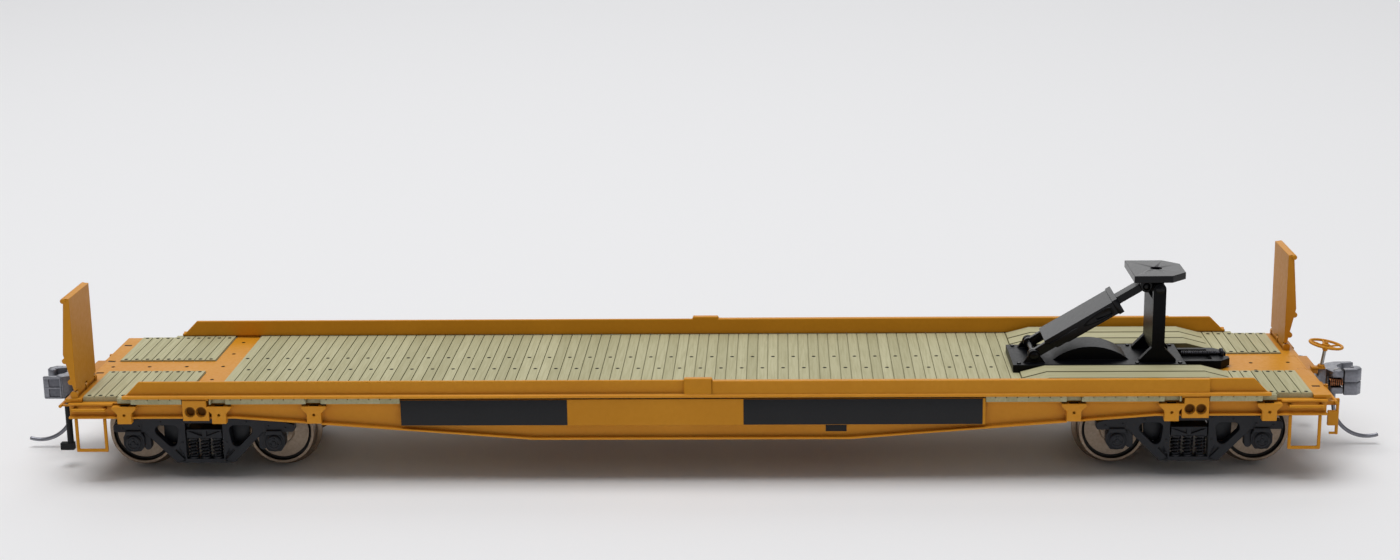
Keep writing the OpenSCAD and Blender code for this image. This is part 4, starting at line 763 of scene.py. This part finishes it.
def makeGuardArms(look):
    face, mid, half, rim, drop = (look[key] for key in ("face", "mid", "half", "rim", "postDrop"))
    inside, outside = look["frameY"]
    for end, sign in ends:
        bm = bmesh.new()
        wall = [((face + x) * sign, y * sign) for x, y in look["wall"]]
        slab(bm, wall, *around(mid, half), look["wallEdge"])

        def strip(xs, low, high, out=outside, edge=look["frameEdge"], finishIndex=0):
            block(bm, span(sign, face + xs[0], face + xs[1]), span(sign, inside, out),
                  (mid + low, mid + high), edge, finishIndex)

        strip(look["frameX"], half - rim, half)
        strip(look["frameX"], -half, rim - half)
        strip(look["frameX"], -rim / 2, rim / 2)
        for xs in look["posts"]:
            strip(xs, drop - half, half - drop, outside - drop)
        # sunk panel floor in the darker coupler metal: painted shade
        strip(look["panelX"], rim / 2 - half, half - rim / 2, look["panelFace"], 0, 1)
        wire = [(sign * (face + x), sign * look["wireY"], mid + z) for x, z in look["wire"]]
        tube(bm, wire, look["wireR"], finishIndex=2)
        place("guardArm_" + end, bm, "coupler_" + end, ["cast", "panel", "steel"])


makeGuardArms(guardShape)


# coupler springs: copper wire round a dark core, which is painted shade inside the coil
knuckleCoil = {"low": 91.17, "high": 93.05, "y": 2.0, "z": 10.0, "radius": 0.52, "wire": 0.08, "turns": 7,
               "core": 0.4, "coreSteps": 20}


def makeKnuckleCoils(look):
    length = look["high"] - look["low"]
    for end, sign in ends:
        bm = bmesh.new()
        spot, along = (sign * look["low"], -sign * look["y"], look["z"]), (sign, 0, 0)
        tube(bm, helix(spot, along, look["radius"], length, look["turns"]), look["wire"])
        # dark core: painted shade inside the coil
        rod(bm, look["core"], 0, length, spot, along, look["coreSteps"], 1)
        place("copperCoil_" + end, bm, "coupler_" + end, ["copper", "groove"],
              ["knuckle_spring_" + end])


makeKnuckleCoils(knuckleCoil)


# brake wheel: dished rim on five spokes, hub nut and steel staff on a bracket
brakeShape = {"foot": (89.6, -3.0, 12.35), "lean": 9.0, "rise": 3.6, "rim": 2.26, "rimSteps": 64,
              "tube": (0.228, 0.192), "tubeSteps": 12, "spokes": 5, "spokeR": 0.15, "spokeTurn": 0.25,
              "spoke": [(0.2, -0.25), (0.9, -0.22), (1.5, -0.1), (2.31, 0)],
              "hub": [(0, -0.95), (0.3, -0.95), (0.42, -0.7), (0.55, -0.3), (0.55, 0.05), (0.4, 0.12),
                      (0, 0.12)],
              "hubSteps": 24, "nutAt": 0.1, "nut": (0.28, 0.25),
              "staff": 0.25, "staffFrom": 0.2, "staffShort": 0.8, "staffSteps": 20,
              "bracketFrom": 88.2, "bracketHalf": 0.55, "bracketHigh": 0.3, "bracketEdge": 0.08,
              "collar": [(0, 0.25), (0.5, 0.25), (0.5, 0.5), (0.38, 0.62), (0, 0.62)]}


def makeBrakeWheel(look):
    bm = bmesh.new()
    rise, rimSteps, tubeSteps = look["rise"], look["rimSteps"], look["tubeSteps"]
    wide, tall = look["tube"]
    section = [(look["rim"] + wide * c, rise + tall * s) for c, s in circle(tubeSteps)]
    rows = [[bm.verts.new((c * r, s * r, z)) for r, z in section] for c, s in circle(rimSteps)]
    for i in range(rimSteps):
        low, high = rows[i], rows[(i + 1) % rimSteps]
        for j in range(tubeSteps):
            k = (j + 1) % tubeSteps
            bm.faces.new((low[j], high[j], high[k], low[k]))
    for i in range(look["spokes"]):
        angle = 2 * math.pi * (i + look["spokeTurn"]) / look["spokes"]
        c, s = math.cos(angle), math.sin(angle)
        tube(bm, [(c * r, s * r, rise + z) for r, z in look["spoke"]], look["spokeR"])
    lathe(bm, look["hub"], (0, 0, rise), upAxis, look["hubSteps"])
    bolt(bm, (0, 0, rise + look["nutAt"]), upAxis, *look["nut"])
    rod(bm, look["staff"], look["staffFrom"], rise - look["staffShort"], (0, 0, 0), upAxis,
        look["staffSteps"], 1)
    lean = Matrix.Rotation(math.radians(look["lean"]), 3, "Y")
    bmesh.ops.rotate(bm, verts=bm.verts, cent=(0, 0, 0), matrix=lean)
    bmesh.ops.translate(bm, verts=bm.verts, vec=look["foot"])
    x, y, z = look["foot"]
    half = look["bracketHalf"]
    block(bm, (look["bracketFrom"], x + half), around(y, half), (z, z + look["bracketHigh"]),
          look["bracketEdge"])
    lathe(bm, look["collar"], look["foot"], upAxis, look["staffSteps"])
    place("brakeHandwheel", bm, "car", ["orange", "steel"], ["brake_wheel"])


makeBrakeWheel(brakeShape)


# threaded screw in the hitch trough
screwShape = {"from": 70.2, "to": 76.2, "z": 13.75, "core": 0.36, "coreSteps": 24,
              "thread": 0.08, "turns": 16, "threadFrom": 0.1, "threadShort": 0.8, "perTurn": 14, "threadSides": 6,
              "head": [(0, 0), (0.7, 0), (0.8, 0.08), (0.8, 0.42), (0.7, 0.5), (0.35, 0.5), (0.3, 0.38),
                       (0, 0.38)],
              "headLong": 0.5, "headSteps": 28}


def makeHitchScrew(look):
    bm = bmesh.new()
    start, z, along = look["from"], look["z"], (1, 0, 0)
    length = look["to"] - start
    rod(bm, look["core"], 0, length, (start, 0, z), along, look["coreSteps"])
    thread = helix((start + look["threadFrom"], 0, z), along, look["core"], length - look["threadShort"],
                   look["turns"], look["perTurn"])
    tube(bm, thread, look["thread"], look["threadSides"])
    lathe(bm, look["head"], (look["to"] - look["headLong"], 0, z), along, look["headSteps"])
    place("threadedScrew", bm, "car", ["darkSteel"], ["hitch_screw"])


makeHitchScrew(screwShape)


# pins and bolts on the hitch, and the raised rim of the drop-shaped recess in its strut
hitchTrim = {"pin": (48.6, 14.65), "pinY": 4.3,
             "pinHead": [(0.62, -0.05), (0.62, 0.12), (0.5, 0.2), (0, 0.22)],
             "legX": 66.2, "headPin": 24.3, "postY": 4.0,
             "postHead": [(0.6, -0.05), (0.6, 0.1), (0.48, 0.18), (0, 0.2)], "headSteps": 24,
             "legBoltX": (-1.75, 1.75), "legBoltY": 3.5, "legBoltZ": 14.0, "legBolt": (0.22, 0.16),
             "baseBolts": [(46.4, 4.6), (46.4, -4.6), (63.2, 4.7), (63.2, -4.7), (69.3, 4.6), (69.3, -4.6)],
             "baseBoltZ": 13.68, "baseBolt": (0.3, 0.2), "strutTo": (64.6, 24.3),
             "drop": [(8.2, 0.0), (9.2, -0.32), (10.6, -0.5), (12.3, -0.62), (12.75, -0.45), (12.85, 0.0),
                      (12.75, 0.45), (12.3, 0.62), (10.6, 0.5), (9.2, 0.32), (8.2, 0.0)],
             "dropY": 3.5, "dropR": 0.09}


def makeHitchTrim(look):
    bm = bmesh.new()
    x, z = look["pin"]
    run = Vector((look["strutTo"][0] - x, look["strutTo"][1] - z)).normalized()
    for side in (-1, 1):
        out = (0, side, 0)
        lathe(bm, look["pinHead"], (x, side * look["pinY"], z), out, look["headSteps"])
        lathe(bm, look["postHead"], (look["legX"], side * look["postY"], look["headPin"]), out,
              look["headSteps"])
        for dx in look["legBoltX"]:
            bolt(bm, (look["legX"] + dx, side * look["legBoltY"], look["legBoltZ"]), upAxis, *look["legBolt"])
        rim = [(x + s * run.x - t * run.y, side * look["dropY"], z + s * run.y + t * run.x)
               for s, t in look["drop"]]
        tube(bm, rim, look["dropR"])
    for boltX, boltY in look["baseBolts"]:
        bolt(bm, (boltX, boltY, look["baseBoltZ"]), upAxis, *look["baseBolt"])
    place("hitchTrim", bm, "car", ["hitch"])


makeHitchTrim(hitchTrim)
print("couplers, brake wheel and hitch dressed")

print("pieces placed")
